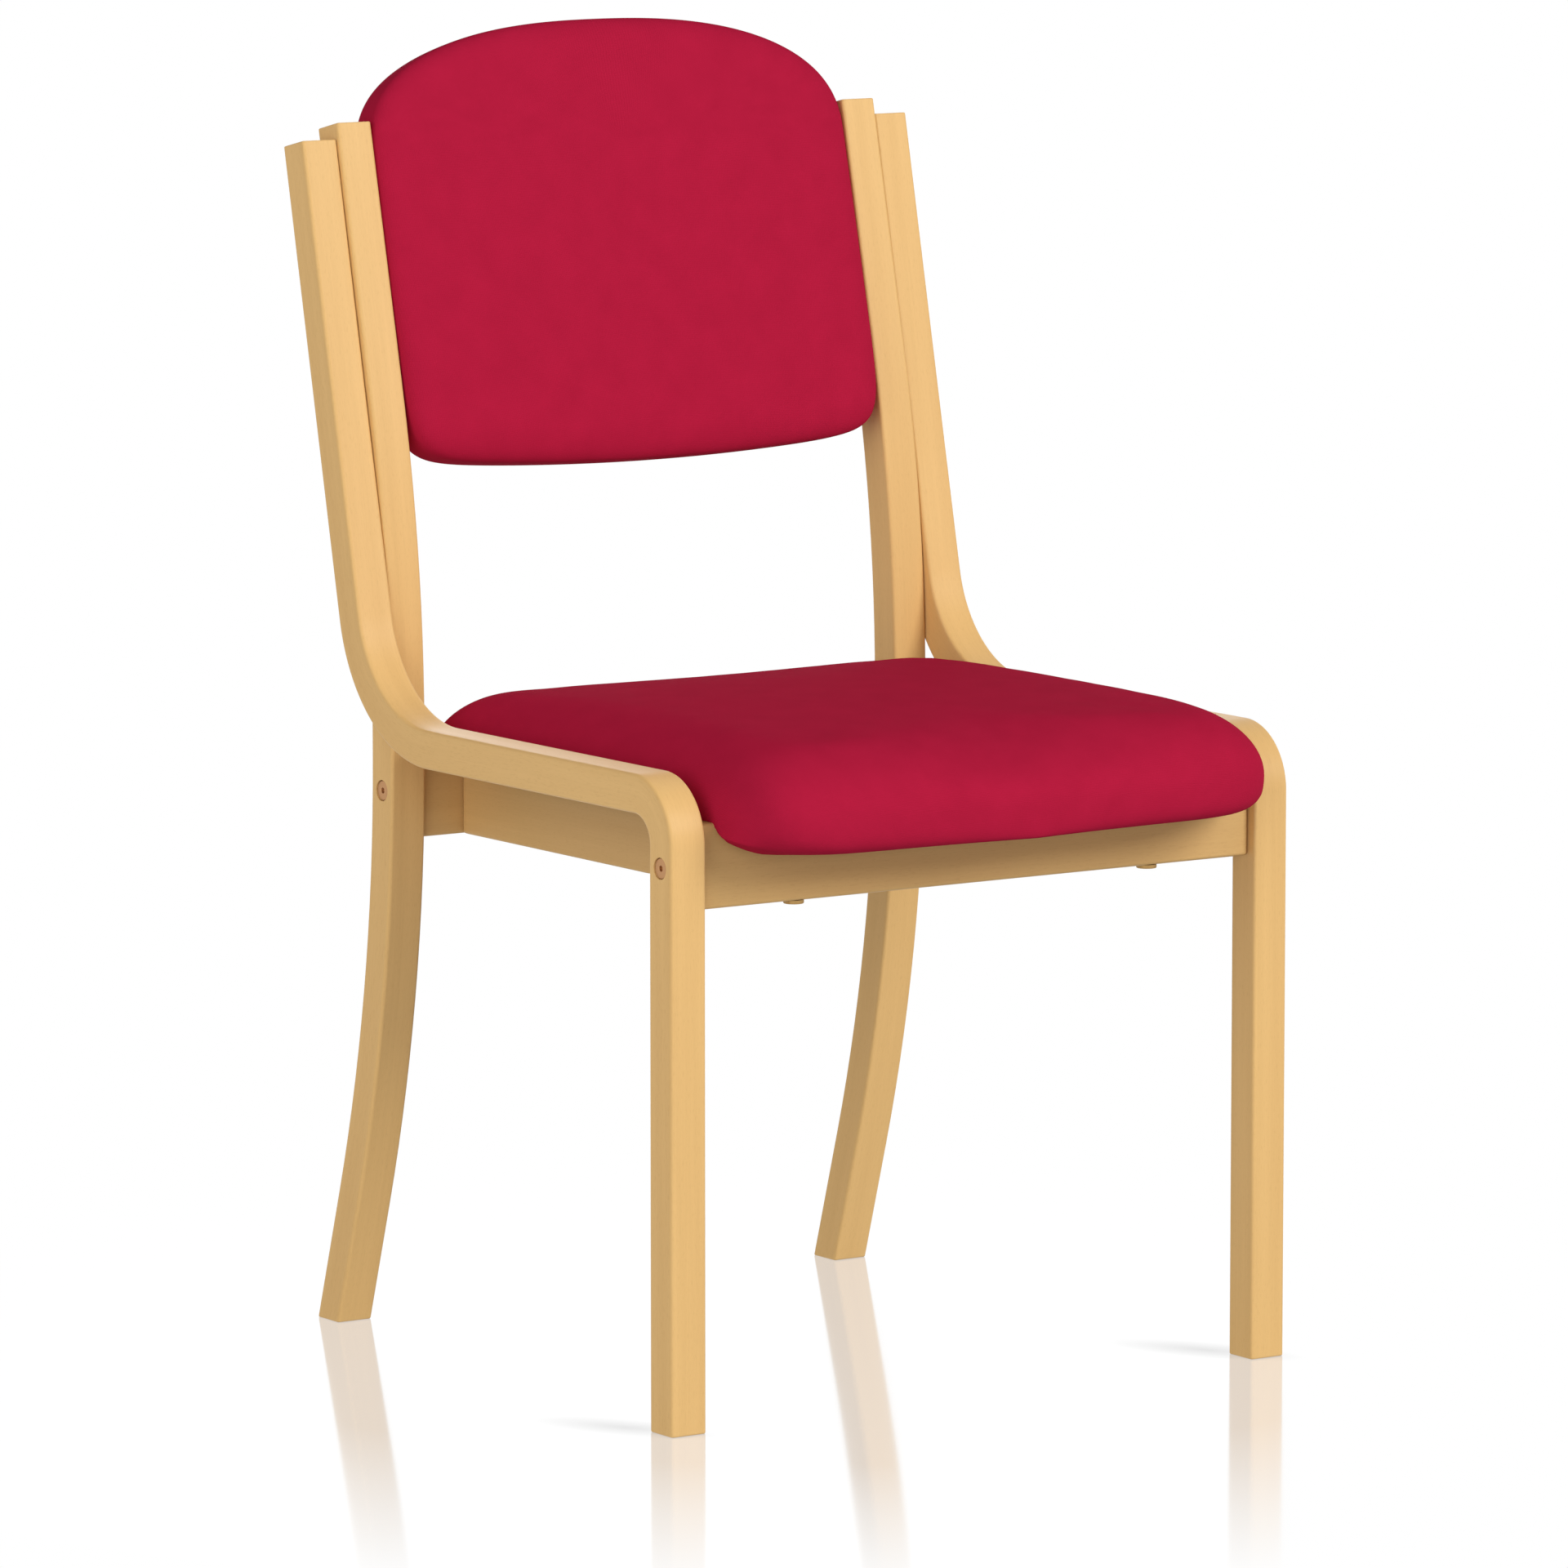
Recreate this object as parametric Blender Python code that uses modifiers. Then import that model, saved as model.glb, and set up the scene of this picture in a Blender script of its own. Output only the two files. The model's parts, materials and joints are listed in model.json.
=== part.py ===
"""Visitor chair: bent beech side frames and rear legs, bolted rails, upholstered seat and back."""

import math

import bmesh
import bpy
from mathutils import Matrix, Vector

# Sizes are in metres. X runs across the chair, Y from front to back, Z up from the floor.
# While it is laid out, Y = 0 is the front face of the front legs; left is -X, as seen from the front.

# Fits
FIT = 0.0003
HOLE_CLEARANCE = 0.0003
CUSHION_FIT = 0.0009
OVERRUN = 0.002

# Facets around round things: hidden holes and pins, then what is seen
HIDDEN_SIDES = 12
SEEN_SIDES = 24

# Bent beech members
FRAME_WIDTH = 0.530
MEMBER_WIDTH = 0.029
MEMBER_DEPTH = 0.028
MEMBER_ROUND = 0.0022
ARC_STEP = math.radians(6.0)
ARC_ERROR = 0.00015

# Side frame: front leg, side rail and outer upright in one piece
SIDE_RAIL_TOP = 0.460
FRONT_BEND_RADIUS = 0.034
REAR_BEND_RADIUS = 0.107
OUTER_UPRIGHT_LEAN = math.radians(12.2)
OUTER_UPRIGHT_TOP = 0.8684
OUTER_UPRIGHT_STEP = 0.0026

# Rear leg: splayed foot, leg and inner upright in one piece
REAR_LEG_SETBACK = 0.4103
FOOT_REACH = 0.0798
FOOT_SPLAY = math.radians(17.2)
LOWER_BOW_RADIUS = 1.12
INNER_UPRIGHT_LEAN = math.radians(12.69)
UPRIGHT_BEND_Z = 0.569
UPPER_BOW_RADIUS = 1.10
INNER_UPRIGHT_TOP = 0.8802

# Rails and aprons under the seat
RAIL_HEIGHT = 0.060
RAIL_THICKNESS = 0.018
RAIL_TOP = 0.4268
RAIL_SETBACK = 0.0075
RAIL_ROUND = 0.0025
APRON_THICKNESS = 0.024
APRON_INSET = 0.0353

# Frame bolts and their barrel nuts
BOLT_RADIUS = 0.003
BOLT_HEAD_RADIUS = 0.0073
BOLT_HEAD_HEIGHT = 0.0024
BOLT_HEAD_ROUND = 0.0006
BOLT_HEAD_SINK = 0.0007
HEX_ACROSS = 0.004
HEX_DEPTH = 0.0016
FRONT_BOLT_BELOW_TOP = 0.0293
REAR_BOLT_BELOW_TOP = 0.0243
BARREL_RADIUS = 0.005
BARREL_LENGTH = 0.0155
BARREL_FROM_END = 0.026
BOLT_PAST_BARREL = 0.008

# Dowels
DOWEL_RADIUS = 0.004
DOWEL_DEPTH = 0.015
DOWEL_CHAMFER = 0.0008
DOWEL_SPACING = 0.032
APRON_DOWEL_RADIUS = 0.003
APRON_DOWEL_DEPTH = 0.011
APRON_DOWEL_FROM_OUTSIDE = 0.0084
UPRIGHT_DOWEL_HEIGHTS = (0.615, 0.842)

# Seat: plan and section of the cushion
SEAT_SIDE_GAP = 0.0105
SEAT_NOSE = 0.0659
SEAT_REAR_GAP = 0.0198
SEAT_RIM_RISE = 0.0544
SEAT_WIDEST_RISE = 0.0031
SEAT_LIP_DROP = 0.0328
SEAT_CROWN = 0.0093
SEAT_FRONT_POWER = 8.9
SEAT_REAR_POWER = 16.0
SEAT_TOP_POWER = 4.7
SEAT_NOSE_POWER = 2.1
SEAT_NOSE_SPREAD = 2.3
SEAT_LIP_POWER = 3.1

# Seat: what it is made of
FABRIC = 0.0012
PAN_THICKNESS = 0.009
PAN_BEND_RADIUS = 0.0125
PAN_LIP = 0.024
WINDOW_MARGIN_SIDE = 0.028
WINDOW_MARGIN_FRONT = 0.022
WINDOW_MARGIN_REAR = 0.032
DUST_COVER = 0.0008

# Seat fixings
SEAT_BOLT_INSET = 0.084
SEAT_BOLT_HEAD_HEIGHT = 0.0027
TEE_FLANGE_RADIUS = 0.007
TEE_FLANGE = 0.0012
TEE_BARREL_RADIUS = 0.004
TEE_BARREL = 0.0065
SEAT_SCREW_Y = 0.335
SEAT_SCREW_RADIUS = 0.002
SEAT_SCREW_HEAD_RADIUS = 0.004
SEAT_SCREW_HEAD = 0.0025
SEAT_SCREW_SINK = 0.030
SEAT_SCREW_BITE = 0.007

# Back: outline and section of the pad, in the plane of the inner uprights' front faces
BACK_BELOW_TOP = 0.2022
BACK_EXTRA_LEAN = math.radians(1.22)
BACK_WIDEST = 0.1842
BACK_ARCH = 0.0946
BACK_DEPTH_BELOW = 0.2305
BACK_BOTTOM_BOW = 0.002
BACK_ARCH_POWER = 2.4
BACK_BOTTOM_POWER = 8.6
BACK_MID = 0.0127
BACK_FRONT_RISE = 0.0256
BACK_REAR_RISE = 0.0169
BACK_FACE_POWER = 11.9
STRAIGHT_POWER = 80.0

# Back: what it is made of
BACK_BOARD_THICKNESS = 0.015
BACK_WINDOW_MARGIN = 0.026
REAR_PANEL = 0.003
REAR_PANEL_MARGIN = 0.010
REAR_PANEL_ROUND = 0.0012

# Back screws
BACK_SCREW_RADIUS = 0.0022
BACK_SCREW_HEAD_RADIUS = 0.0042
BACK_SCREW_BITE = 0.028
BACK_SCREW_FROM_FRONT = 0.0048
BACK_SCREW_HEIGHTS = (0.015, 0.125)

# Colours
BEECH = (0.78, 0.52, 0.24)
PLYWOOD = (0.70, 0.53, 0.33)
RED_FABRIC = (0.43, 0.012, 0.045)
FOAM = (0.82, 0.76, 0.58)
BRONZE = (0.50, 0.28, 0.14)
ZINC = (0.62, 0.62, 0.60)
BLACK_CLOTH = (0.02, 0.02, 0.02)

# Lines that follow from the sizes
OUTER_X = FRAME_WIDTH / 2
SIDE_INNER_X = OUTER_X - MEMBER_WIDTH
REAR_OUTER_X = SIDE_INNER_X - FIT
REAR_INNER_X = REAR_OUTER_X - MEMBER_WIDTH
LEG_Y = MEMBER_DEPTH / 2
REAR_LEG_Y = REAR_LEG_SETBACK + MEMBER_DEPTH / 2
SIDE_RAIL_Z = SIDE_RAIL_TOP - MEMBER_DEPTH / 2
RAIL_BOTTOM = RAIL_TOP - RAIL_HEIGHT
RAIL_MID_Z = RAIL_TOP - RAIL_HEIGHT / 2
FRONT_RAIL_Y = RAIL_SETBACK + RAIL_THICKNESS / 2
REAR_RAIL_Y = REAR_LEG_SETBACK + RAIL_SETBACK + RAIL_THICKNESS / 2
APRON_OUTER_X = REAR_INNER_X - APRON_INSET
APRON_X = APRON_OUTER_X - APRON_THICKNESS / 2
SEAT_BASE = RAIL_TOP + FIT
SEAT_LIP_BACK = RAIL_SETBACK - FIT
PAN_BOTTOM = SEAT_BASE + FABRIC + FIT
PAN_TOP = PAN_BOTTOM + PAN_THICKNESS
PAN_FLAT_FRONT = SEAT_LIP_BACK - FABRIC - FIT
SEAT_HALF_WIDTH = SIDE_INNER_X - SEAT_SIDE_GAP
SEAT_REAR = REAR_LEG_SETBACK - SEAT_REAR_GAP
SEAT_BOLT_X = SIDE_INNER_X - SEAT_BOLT_INSET
BACK_LEAN = INNER_UPRIGHT_LEAN + BACK_EXTRA_LEAN
BACK_HALF_WIDTH = REAR_INNER_X - FIT
BACK_REAR = BACK_MID + BACK_REAR_RISE
BOARD_REAR = BACK_REAR - FABRIC - 2 * FIT
BOARD_FRONT = BOARD_REAR - BACK_BOARD_THICKNESS
PANEL_FRONT = BACK_REAR + FIT
SIDES = (("left", -1), ("right", 1))


def upright_y(height):
    """Middle of the inner upright at a height, on its straight run."""
    return REAR_LEG_Y + (height - UPRIGHT_BEND_Z) * math.tan(INNER_UPRIGHT_LEAN)


def outer_upright_y(height):
    """Middle of the outer upright at a height: at its top it stands a step behind the inner one."""
    top = upright_y(OUTER_UPRIGHT_TOP) + OUTER_UPRIGHT_STEP
    return top - (OUTER_UPRIGHT_TOP - height) * math.tan(OUTER_UPRIGHT_LEAN)


BACK_REFERENCE_Z = INNER_UPRIGHT_TOP - BACK_BELOW_TOP
BACK_REFERENCE_Y = upright_y(BACK_REFERENCE_Z) - MEMBER_DEPTH / 2 / math.cos(INNER_UPRIGHT_LEAN)


def back_point(across, up, rearward):
    """A point given in the back pad's leaning plane, in the chair's own axes."""
    rise = up * math.cos(BACK_LEAN) - rearward * math.sin(BACK_LEAN)
    run = up * math.sin(BACK_LEAN) + rearward * math.cos(BACK_LEAN)
    return Vector((across, BACK_REFERENCE_Y + run, BACK_REFERENCE_Z + rise))


PANEL_TOP = BACK_WIDEST + BACK_ARCH - REAR_PANEL_MARGIN
REARMOST = back_point(0.0, PANEL_TOP - REAR_PANEL_ROUND, PANEL_FRONT + REAR_PANEL).y
ORIGIN_Y = (REARMOST - SEAT_NOSE) / 2


def clear_scene():
    for old in list(bpy.data.objects):
        bpy.data.objects.remove(old, do_unlink=True)


def new_collection(name):
    collection = bpy.data.collections.new(name)
    bpy.context.scene.collection.children.link(collection)
    return collection


def new_empty(name, location, parent=None, lean=0.0):
    empty = bpy.data.objects.new(name, None)
    empty.location = location
    empty.rotation_euler = (lean, 0.0, 0.0)
    empty.parent = parent
    PARTS.objects.link(empty)
    return empty


def new_material(name, colour, roughness, metallic=0.0):
    material = bpy.data.materials.new(name)
    material.use_nodes = True
    shader = material.node_tree.nodes["Principled BSDF"]
    shader.inputs["Base Color"].default_value = (*colour, 1.0)
    shader.inputs["Roughness"].default_value = roughness
    shader.inputs["Metallic"].default_value = metallic
    return material


def mesh_object(name, bm, parent=None):
    """A mesh object with outward faces, in the chair's frame unless another parent is named."""
    bm.normal_update()
    bmesh.ops.recalc_face_normals(bm, faces=bm.faces)
    mesh = bpy.data.meshes.new(name)
    bm.to_mesh(mesh)
    bm.free()
    obj = bpy.data.objects.new(name, mesh)
    obj.parent = parent or CHAIR
    return obj


def as_part(obj, finish):
    """Keep an object as a piece of the chair, in its own material."""
    colour, roughness, metallic = finish
    PARTS.objects.link(obj)
    obj.data.materials.append(new_material(obj.name, colour, roughness, metallic))
    obj.data.shade_smooth()
    obj.data.set_sharp_from_angle(angle=math.radians(35.0))
    return obj


def as_cutter(obj):
    """Keep an object only as a tool for the Boolean modifiers."""
    CUTTERS.objects.link(obj)
    obj.hide_render = True
    obj.display_type = "WIRE"
    return obj


def boolean(obj, tool, operation="DIFFERENCE"):
    modifier = obj.modifiers.new(f"{operation.lower()} {tool.name}", "BOOLEAN")
    modifier.operation = operation
    modifier.solver = "EXACT"
    modifier.object = tool
    return obj


def trim_to(obj, form):
    """Keep only what lies inside a form, and close up the slivers that leaves along its rim."""
    boolean(obj, as_cutter(form), "INTERSECT")
    modifier = obj.modifiers.new("close slivers", "WELD")
    modifier.merge_threshold = 0.0001
    return obj


def round_edges(obj, radius, segments=2):
    modifier = obj.modifiers.new("rounded edges", "BEVEL")
    modifier.width = radius
    modifier.segments = segments
    modifier.limit_method = "ANGLE"
    modifier.angle_limit = math.radians(40.0)
    return obj


def box(name, low, high, parent=None):
    low = Vector(low)
    high = Vector(high)
    bm = bmesh.new()
    bmesh.ops.create_cube(bm, size=1.0)
    bmesh.ops.scale(bm, vec=high - low, verts=bm.verts)
    bmesh.ops.translate(bm, vec=(low + high) / 2, verts=bm.verts)
    return mesh_object(name, bm, parent)


def along(start, direction):
    """Matrix that stands a shape made along +Z at a start point, pointing in a direction."""
    turn = Vector((0.0, 0.0, 1.0)).rotation_difference(Vector(direction).normalized())
    return Matrix.Translation(Vector(start)) @ turn.to_matrix().to_4x4()


def cylinder(name, start, direction, length, radius, sides=HIDDEN_SIDES):
    bm = bmesh.new()
    bmesh.ops.create_cone(
        bm, cap_ends=True, segments=sides, radius1=radius, radius2=radius, depth=length
    )
    bmesh.ops.translate(bm, vec=(0.0, 0.0, length / 2), verts=bm.verts)
    bmesh.ops.transform(bm, matrix=along(start, direction), verts=bm.verts)
    return mesh_object(name, bm)


def bore(obj, start, direction, depth, radius, sides=HIDDEN_SIDES):
    """Drill a hole into an object from a point on its face."""
    direction = Vector(direction).normalized()
    start = Vector(start) - direction * OVERRUN
    tool = cylinder(f"{obj.name} bore", start, direction, depth + OVERRUN, radius, sides)
    return boolean(obj, as_cutter(tool))


def turned(name, start, direction, profile, sides=HIDDEN_SIDES):
    """Spin a profile of (radius, height) points about the line through a start point."""
    bm = bmesh.new()
    verts = [bm.verts.new((radius, 0.0, height)) for radius, height in profile]
    edges = [bm.edges.new(pair) for pair in zip(verts, verts[1:])]
    if profile[0][0] > 0.0:
        edges.append(bm.edges.new((verts[-1], verts[0])))
    bmesh.ops.spin(
        bm,
        geom=verts + edges,
        cent=(0.0, 0.0, 0.0),
        axis=(0.0, 0.0, 1.0),
        angle=2 * math.pi,
        steps=sides,
        use_merge=True,
    )
    bmesh.ops.remove_doubles(bm, verts=bm.verts, dist=1e-6)
    bmesh.ops.transform(bm, matrix=along(start, direction), verts=bm.verts)
    return mesh_object(name, bm)


def stepped_bore(obj, start, direction, steps, sides=HIDDEN_SIDES):
    """Drill a hole whose radius changes with depth: (radius, depth) pairs, from the face inwards."""
    profile = [(0.0, -OVERRUN), (steps[0][0], -OVERRUN), *steps, (0.0, steps[-1][1])]
    tool = turned(f"{obj.name} bore", start, direction, profile, sides)
    return boolean(obj, as_cutter(tool))


def filleted_path(corners, radii):
    """Points along straight runs in a plane, joined by one arc at each inner corner."""
    path = [corners[0]]
    for before, corner, after, radius in zip(corners, corners[1:], corners[2:], radii):
        into = (corner - before).normalized()
        out = (after - corner).normalized()
        turn = into.angle(out)
        side = math.copysign(1.0, into.cross(out))
        inward = Vector((-into.y, into.x)) * side
        centre = corner - into * radius * math.tan(turn / 2) + inward * radius
        widest = 2 * math.sqrt(2 * ARC_ERROR / radius)
        steps = math.ceil(turn / min(ARC_STEP, widest))
        for step in range(steps + 1):
            angle = turn * step / steps
            path.append(centre + (into * math.sin(angle) - inward * math.cos(angle)) * radius)
    path.append(corners[-1])
    return path


def bent_strip(name, path, x, width, above, below):
    """Carry a rectangular section along a path of (y, z) points: a curve with a bevel profile."""
    section = bpy.data.curves.new("section", "CURVE")
    outline = section.splines.new("POLY")
    outline.points.add(3)
    outline.use_cyclic_u = True
    corners = ((below, -width / 2), (above, -width / 2), (above, width / 2), (below, width / 2))
    for point, corner in zip(outline.points, corners):
        point.co = (*corner, 0.0, 1.0)
    section_object = bpy.data.objects.new("section", section)
    bpy.context.scene.collection.objects.link(section_object)

    curve = bpy.data.curves.new(name, "CURVE")
    curve.dimensions = "2D"
    curve.fill_mode = "NONE"
    curve.bevel_mode = "OBJECT"
    curve.bevel_object = section_object
    curve.use_fill_caps = True
    spline = curve.splines.new("POLY")
    spline.points.add(len(path) - 1)
    for point, (y, z) in zip(spline.points, path):
        point.co = (y, z, 0.0, 1.0)
    curve_object = bpy.data.objects.new(name, curve)
    bpy.context.scene.collection.objects.link(curve_object)

    graph = bpy.context.evaluated_depsgraph_get()
    swept = bpy.data.meshes.new_from_object(curve_object.evaluated_get(graph))
    bm = bmesh.new()
    bm.from_mesh(swept)
    bmesh.ops.remove_doubles(bm, verts=bm.verts, dist=1e-5)
    plane_to_side_view = Matrix(((0, 0, 1, x), (1, 0, 0, 0), (0, 1, 0, 0), (0, 0, 0, 1)))
    bmesh.ops.transform(bm, matrix=plane_to_side_view, verts=bm.verts)
    bpy.data.objects.remove(curve_object, do_unlink=True)
    bpy.data.objects.remove(section_object, do_unlink=True)
    bpy.data.meshes.remove(swept)
    return mesh_object(name, bm)


def cut_at_floor(obj):
    """Saw a leg off level with the floor."""
    bm = bmesh.new()
    bm.from_mesh(obj.data)
    everything = bm.verts[:] + bm.edges[:] + bm.faces[:]
    bmesh.ops.bisect_plane(bm, geom=everything, plane_co=(0, 0, 0), plane_no=(0, 0, -1), clear_outer=True)
    rim = [edge for edge in bm.edges if edge.is_boundary]
    bmesh.ops.holes_fill(bm, edges=rim)
    bmesh.ops.recalc_face_normals(bm, faces=bm.faces)
    bm.to_mesh(obj.data)
    bm.free()
    return obj


def side_frame(side, sign):
    corners = [
        Vector((LEG_Y, 0.0)),
        Vector((LEG_Y, SIDE_RAIL_Z)),
        Vector((outer_upright_y(SIDE_RAIL_Z), SIDE_RAIL_Z)),
        Vector((outer_upright_y(OUTER_UPRIGHT_TOP), OUTER_UPRIGHT_TOP)),
    ]
    path = filleted_path(corners, (FRONT_BEND_RADIUS, REAR_BEND_RADIUS))
    x = sign * (OUTER_X - MEMBER_WIDTH / 2)
    half = MEMBER_DEPTH / 2
    frame = bent_strip(f"side_frame_{side}", path, x, MEMBER_WIDTH, half, -half)
    return round_edges(as_part(frame, WOOD), MEMBER_ROUND)


def rear_leg(side, sign):
    slope = math.tan(FOOT_SPLAY)
    below = MEMBER_DEPTH
    corners = [
        Vector((REAR_LEG_Y + FOOT_REACH + below * slope, -below)),
        Vector((REAR_LEG_Y, FOOT_REACH / slope)),
        Vector((REAR_LEG_Y, UPRIGHT_BEND_Z)),
        Vector((upright_y(INNER_UPRIGHT_TOP), INNER_UPRIGHT_TOP)),
    ]
    path = filleted_path(corners, (LOWER_BOW_RADIUS, UPPER_BOW_RADIUS))
    x = sign * (REAR_OUTER_X - MEMBER_WIDTH / 2)
    half = MEMBER_DEPTH / 2
    leg = cut_at_floor(bent_strip(f"rear_leg_{side}", path, x, MEMBER_WIDTH, half, -half))
    return round_edges(as_part(leg, WOOD), MEMBER_ROUND)


def cross_rail(name, y, half_length):
    low = (-half_length, y - RAIL_THICKNESS / 2, RAIL_BOTTOM)
    high = (half_length, y + RAIL_THICKNESS / 2, RAIL_TOP)
    return round_edges(as_part(box(name, low, high), WOOD), RAIL_ROUND)


def side_apron(side, sign):
    front = FRONT_RAIL_Y + RAIL_THICKNESS / 2 + FIT
    rear = REAR_RAIL_Y - RAIL_THICKNESS / 2 - FIT
    half = APRON_THICKNESS / 2
    low = (sign * APRON_X - half, front, RAIL_BOTTOM)
    high = (sign * APRON_X + half, rear, RAIL_TOP)
    return round_edges(as_part(box(f"side_apron_{side}", low, high), WOOD), RAIL_ROUND)


def headed_bolt(name, start, direction, head, length):
    """Flat round head with a hexagon socket, on a plain shank."""
    profile = (
        (0.0, 0.0),
        (BOLT_HEAD_RADIUS - BOLT_HEAD_ROUND, 0.0),
        (BOLT_HEAD_RADIUS, BOLT_HEAD_ROUND),
        (BOLT_HEAD_RADIUS, head),
        (BOLT_RADIUS, head),
        (BOLT_RADIUS, head + length),
        (0.0, head + length),
    )
    bolt = as_part(turned(name, start, direction, profile, SEEN_SIDES), BOLT_METAL)
    corner = HEX_ACROSS / 2 / math.cos(math.pi / 6)
    return bore(bolt, start, direction, HEX_DEPTH, corner, sides=6)


def dowel(name, middle, direction, radius, depth):
    """Plain pin with chamfered ends, lying half in each of two members."""
    half = depth - FIT
    profile = (
        (0.0, -half),
        (radius - DOWEL_CHAMFER, -half),
        (radius, DOWEL_CHAMFER - half),
        (radius, half - DOWEL_CHAMFER),
        (radius - DOWEL_CHAMFER, half),
        (0.0, half),
    )
    return as_part(turned(name, middle, direction, profile), WOOD)


def join_with_dowel(name, first, second, middle, direction, radius, depth):
    """A dowel across a joint, with its hole in each of the two members."""
    direction = Vector(direction)
    hole = radius + HOLE_CLEARANCE
    bore(first, middle, -direction, depth, hole)
    bore(second, middle, direction, depth, hole)
    return dowel(name, middle, direction, radius, depth)


def bolted_corner(place, leg, rail, sign, leg_x, leg_y, rail_y, bolt_z):
    """Bolt, barrel nut and two dowels holding a rail end to the inner face of a leg."""
    inward = Vector((-sign, 0.0, 0.0))
    face = Vector((sign * leg_x, leg_y, bolt_z))
    seat = BOLT_HEAD_SINK + BOLT_HEAD_HEIGHT
    shank_hole = BOLT_RADIUS + HOLE_CLEARANCE
    nut_depth = MEMBER_WIDTH + FIT + BARREL_FROM_END
    shank = nut_depth + BOLT_PAST_BARREL - seat
    head_hole = BOLT_HEAD_RADIUS + HOLE_CLEARANCE
    through = MEMBER_WIDTH + OVERRUN
    steps = ((head_hole, seat + FIT), (shank_hole, seat + FIT), (shank_hole, through))
    stepped_bore(leg, face, inward, steps, SEEN_SIDES)
    rail_end = face + inward * (MEMBER_WIDTH + FIT)
    bore(rail, rail_end, inward, BARREL_FROM_END + BOLT_PAST_BARREL + FIT, shank_hole)
    headed_bolt(f"frame_bolt_{place}", face + inward * BOLT_HEAD_SINK, inward, BOLT_HEAD_HEIGHT, shank)

    forward = Vector((0.0, -1.0, 0.0))
    rail_back = rail_y + RAIL_THICKNESS / 2
    mouth = Vector((face.x + inward.x * nut_depth, rail_back, bolt_z))
    sink = FIT * 2
    bore(rail, mouth, forward, BARREL_LENGTH + sink + FIT, BARREL_RADIUS + HOLE_CLEARANCE)
    nut = cylinder(f"barrel_nut_{place}", mouth + forward * sink, forward, BARREL_LENGTH, BARREL_RADIUS)
    as_part(nut, STEEL)
    across = Vector((mouth.x - inward.x * BARREL_RADIUS, leg_y, bolt_z))
    bore(nut, across, inward, BARREL_RADIUS * 2 + OVERRUN, shank_hole)

    for level, offset in (("lower", -0.5), ("upper", 0.5)):
        middle = Vector((rail_end.x, rail_y, bolt_z + offset * DOWEL_SPACING))
        name = f"rail_dowel_{place}_{level}"
        join_with_dowel(name, leg, rail, middle, inward, DOWEL_RADIUS, DOWEL_DEPTH)


def apron_joint(place, rail, apron, sign, joint_y, rearward):
    """Two dowels between a rail's face and the end of an apron."""
    x = sign * (APRON_OUTER_X - APRON_DOWEL_FROM_OUTSIDE)
    for level, offset in (("lower", -0.5), ("upper", 0.5)):
        middle = Vector((x, joint_y, RAIL_MID_Z + offset * DOWEL_SPACING))
        direction = (0.0, rearward, 0.0)
        name = f"apron_dowel_{place}_{level}"
        join_with_dowel(name, rail, apron, middle, direction, APRON_DOWEL_RADIUS, APRON_DOWEL_DEPTH)


def pad_cage(across, up_or_back, through):
    """Cube cut into a grid, its lines closer together towards the edges; corners at -1 and 1."""
    bm = bmesh.new()
    bmesh.ops.create_cube(bm, size=2.0)
    for axis, cells in enumerate((across, up_or_back, through)):
        edges = []
        for edge in bm.edges:
            run = edge.verts[1].co - edge.verts[0].co
            if abs(run[axis]) > 1.0:
                edges.append(edge)
        bmesh.ops.subdivide_edges(bm, edges=edges, cuts=cells - 1, use_grid_fill=True)
    for vert in bm.verts:
        vert.co = [math.sin(math.pi / 2 * part) for part in vert.co]
    return bm


def soften(point, outline_power, face_power):
    """Draw a cage point in to the rounded box (|a|^m + |b|^m)^(n/m) + |c|^n = 1."""
    a, b, c = (abs(part) for part in point)
    outline = (a**outline_power + b**outline_power) ** (1 / outline_power)
    size = (outline**face_power + c**face_power) ** (1 / face_power)
    return point / size


def mirrored_facets(bm):
    """Split a pad's faces into triangles, the right half as the mirror image of the left."""
    bmesh.ops.triangulate(bm, faces=bm.faces, quad_method="FIXED")
    everything = bm.verts[:] + bm.edges[:] + bm.faces[:]
    bmesh.ops.symmetrize(bm, input=everything, direction="-X")
    return bm


def seat_face_power(a, b, c):
    """How square the cushion's edge is: a soft round nose in front, tighter round the sides."""
    if c < 0:
        return SEAT_LIP_POWER
    forward = max(0.0, -b) / max(math.hypot(a, b), 1e-6)
    return SEAT_TOP_POWER + (SEAT_NOSE_POWER - SEAT_TOP_POWER) * forward**SEAT_NOSE_SPREAD


def seat_form(name, inset):
    """Cushion with a waterfall front: all faces lie the inset inside the finished surface."""
    front = inset - SEAT_NOSE
    rear = SEAT_REAR - inset
    widest = SEAT_BASE + SEAT_WIDEST_RISE
    bm = pad_cage(12, 12, 6)
    for vert in bm.verts:
        outline_power = SEAT_FRONT_POWER if vert.co.y < 0 else SEAT_REAR_POWER
        a, b, c = soften(vert.co, outline_power, seat_face_power(*vert.co))
        top = SEAT_BASE + SEAT_RIM_RISE + SEAT_CROWN * (1 - b * b) - inset
        bottom = SEAT_BASE - SEAT_LIP_DROP + inset
        z = widest + c * (top - widest if c > 0 else widest - bottom)
        y = (front + rear) / 2 + b * (rear - front) / 2
        vert.co = (a * (SEAT_HALF_WIDTH - inset), y, z)
    return mesh_object(name, mirrored_facets(bm))


def under_seat(name, inset):
    """The block of air, rails and legs that the underside of the cushion is shaped to."""
    low = (-OUTER_X, SEAT_LIP_BACK - inset, RAIL_BOTTOM)
    high = (OUTER_X, REAR_LEG_Y, SEAT_BASE + inset)
    return as_cutter(box(name, low, high))


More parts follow.
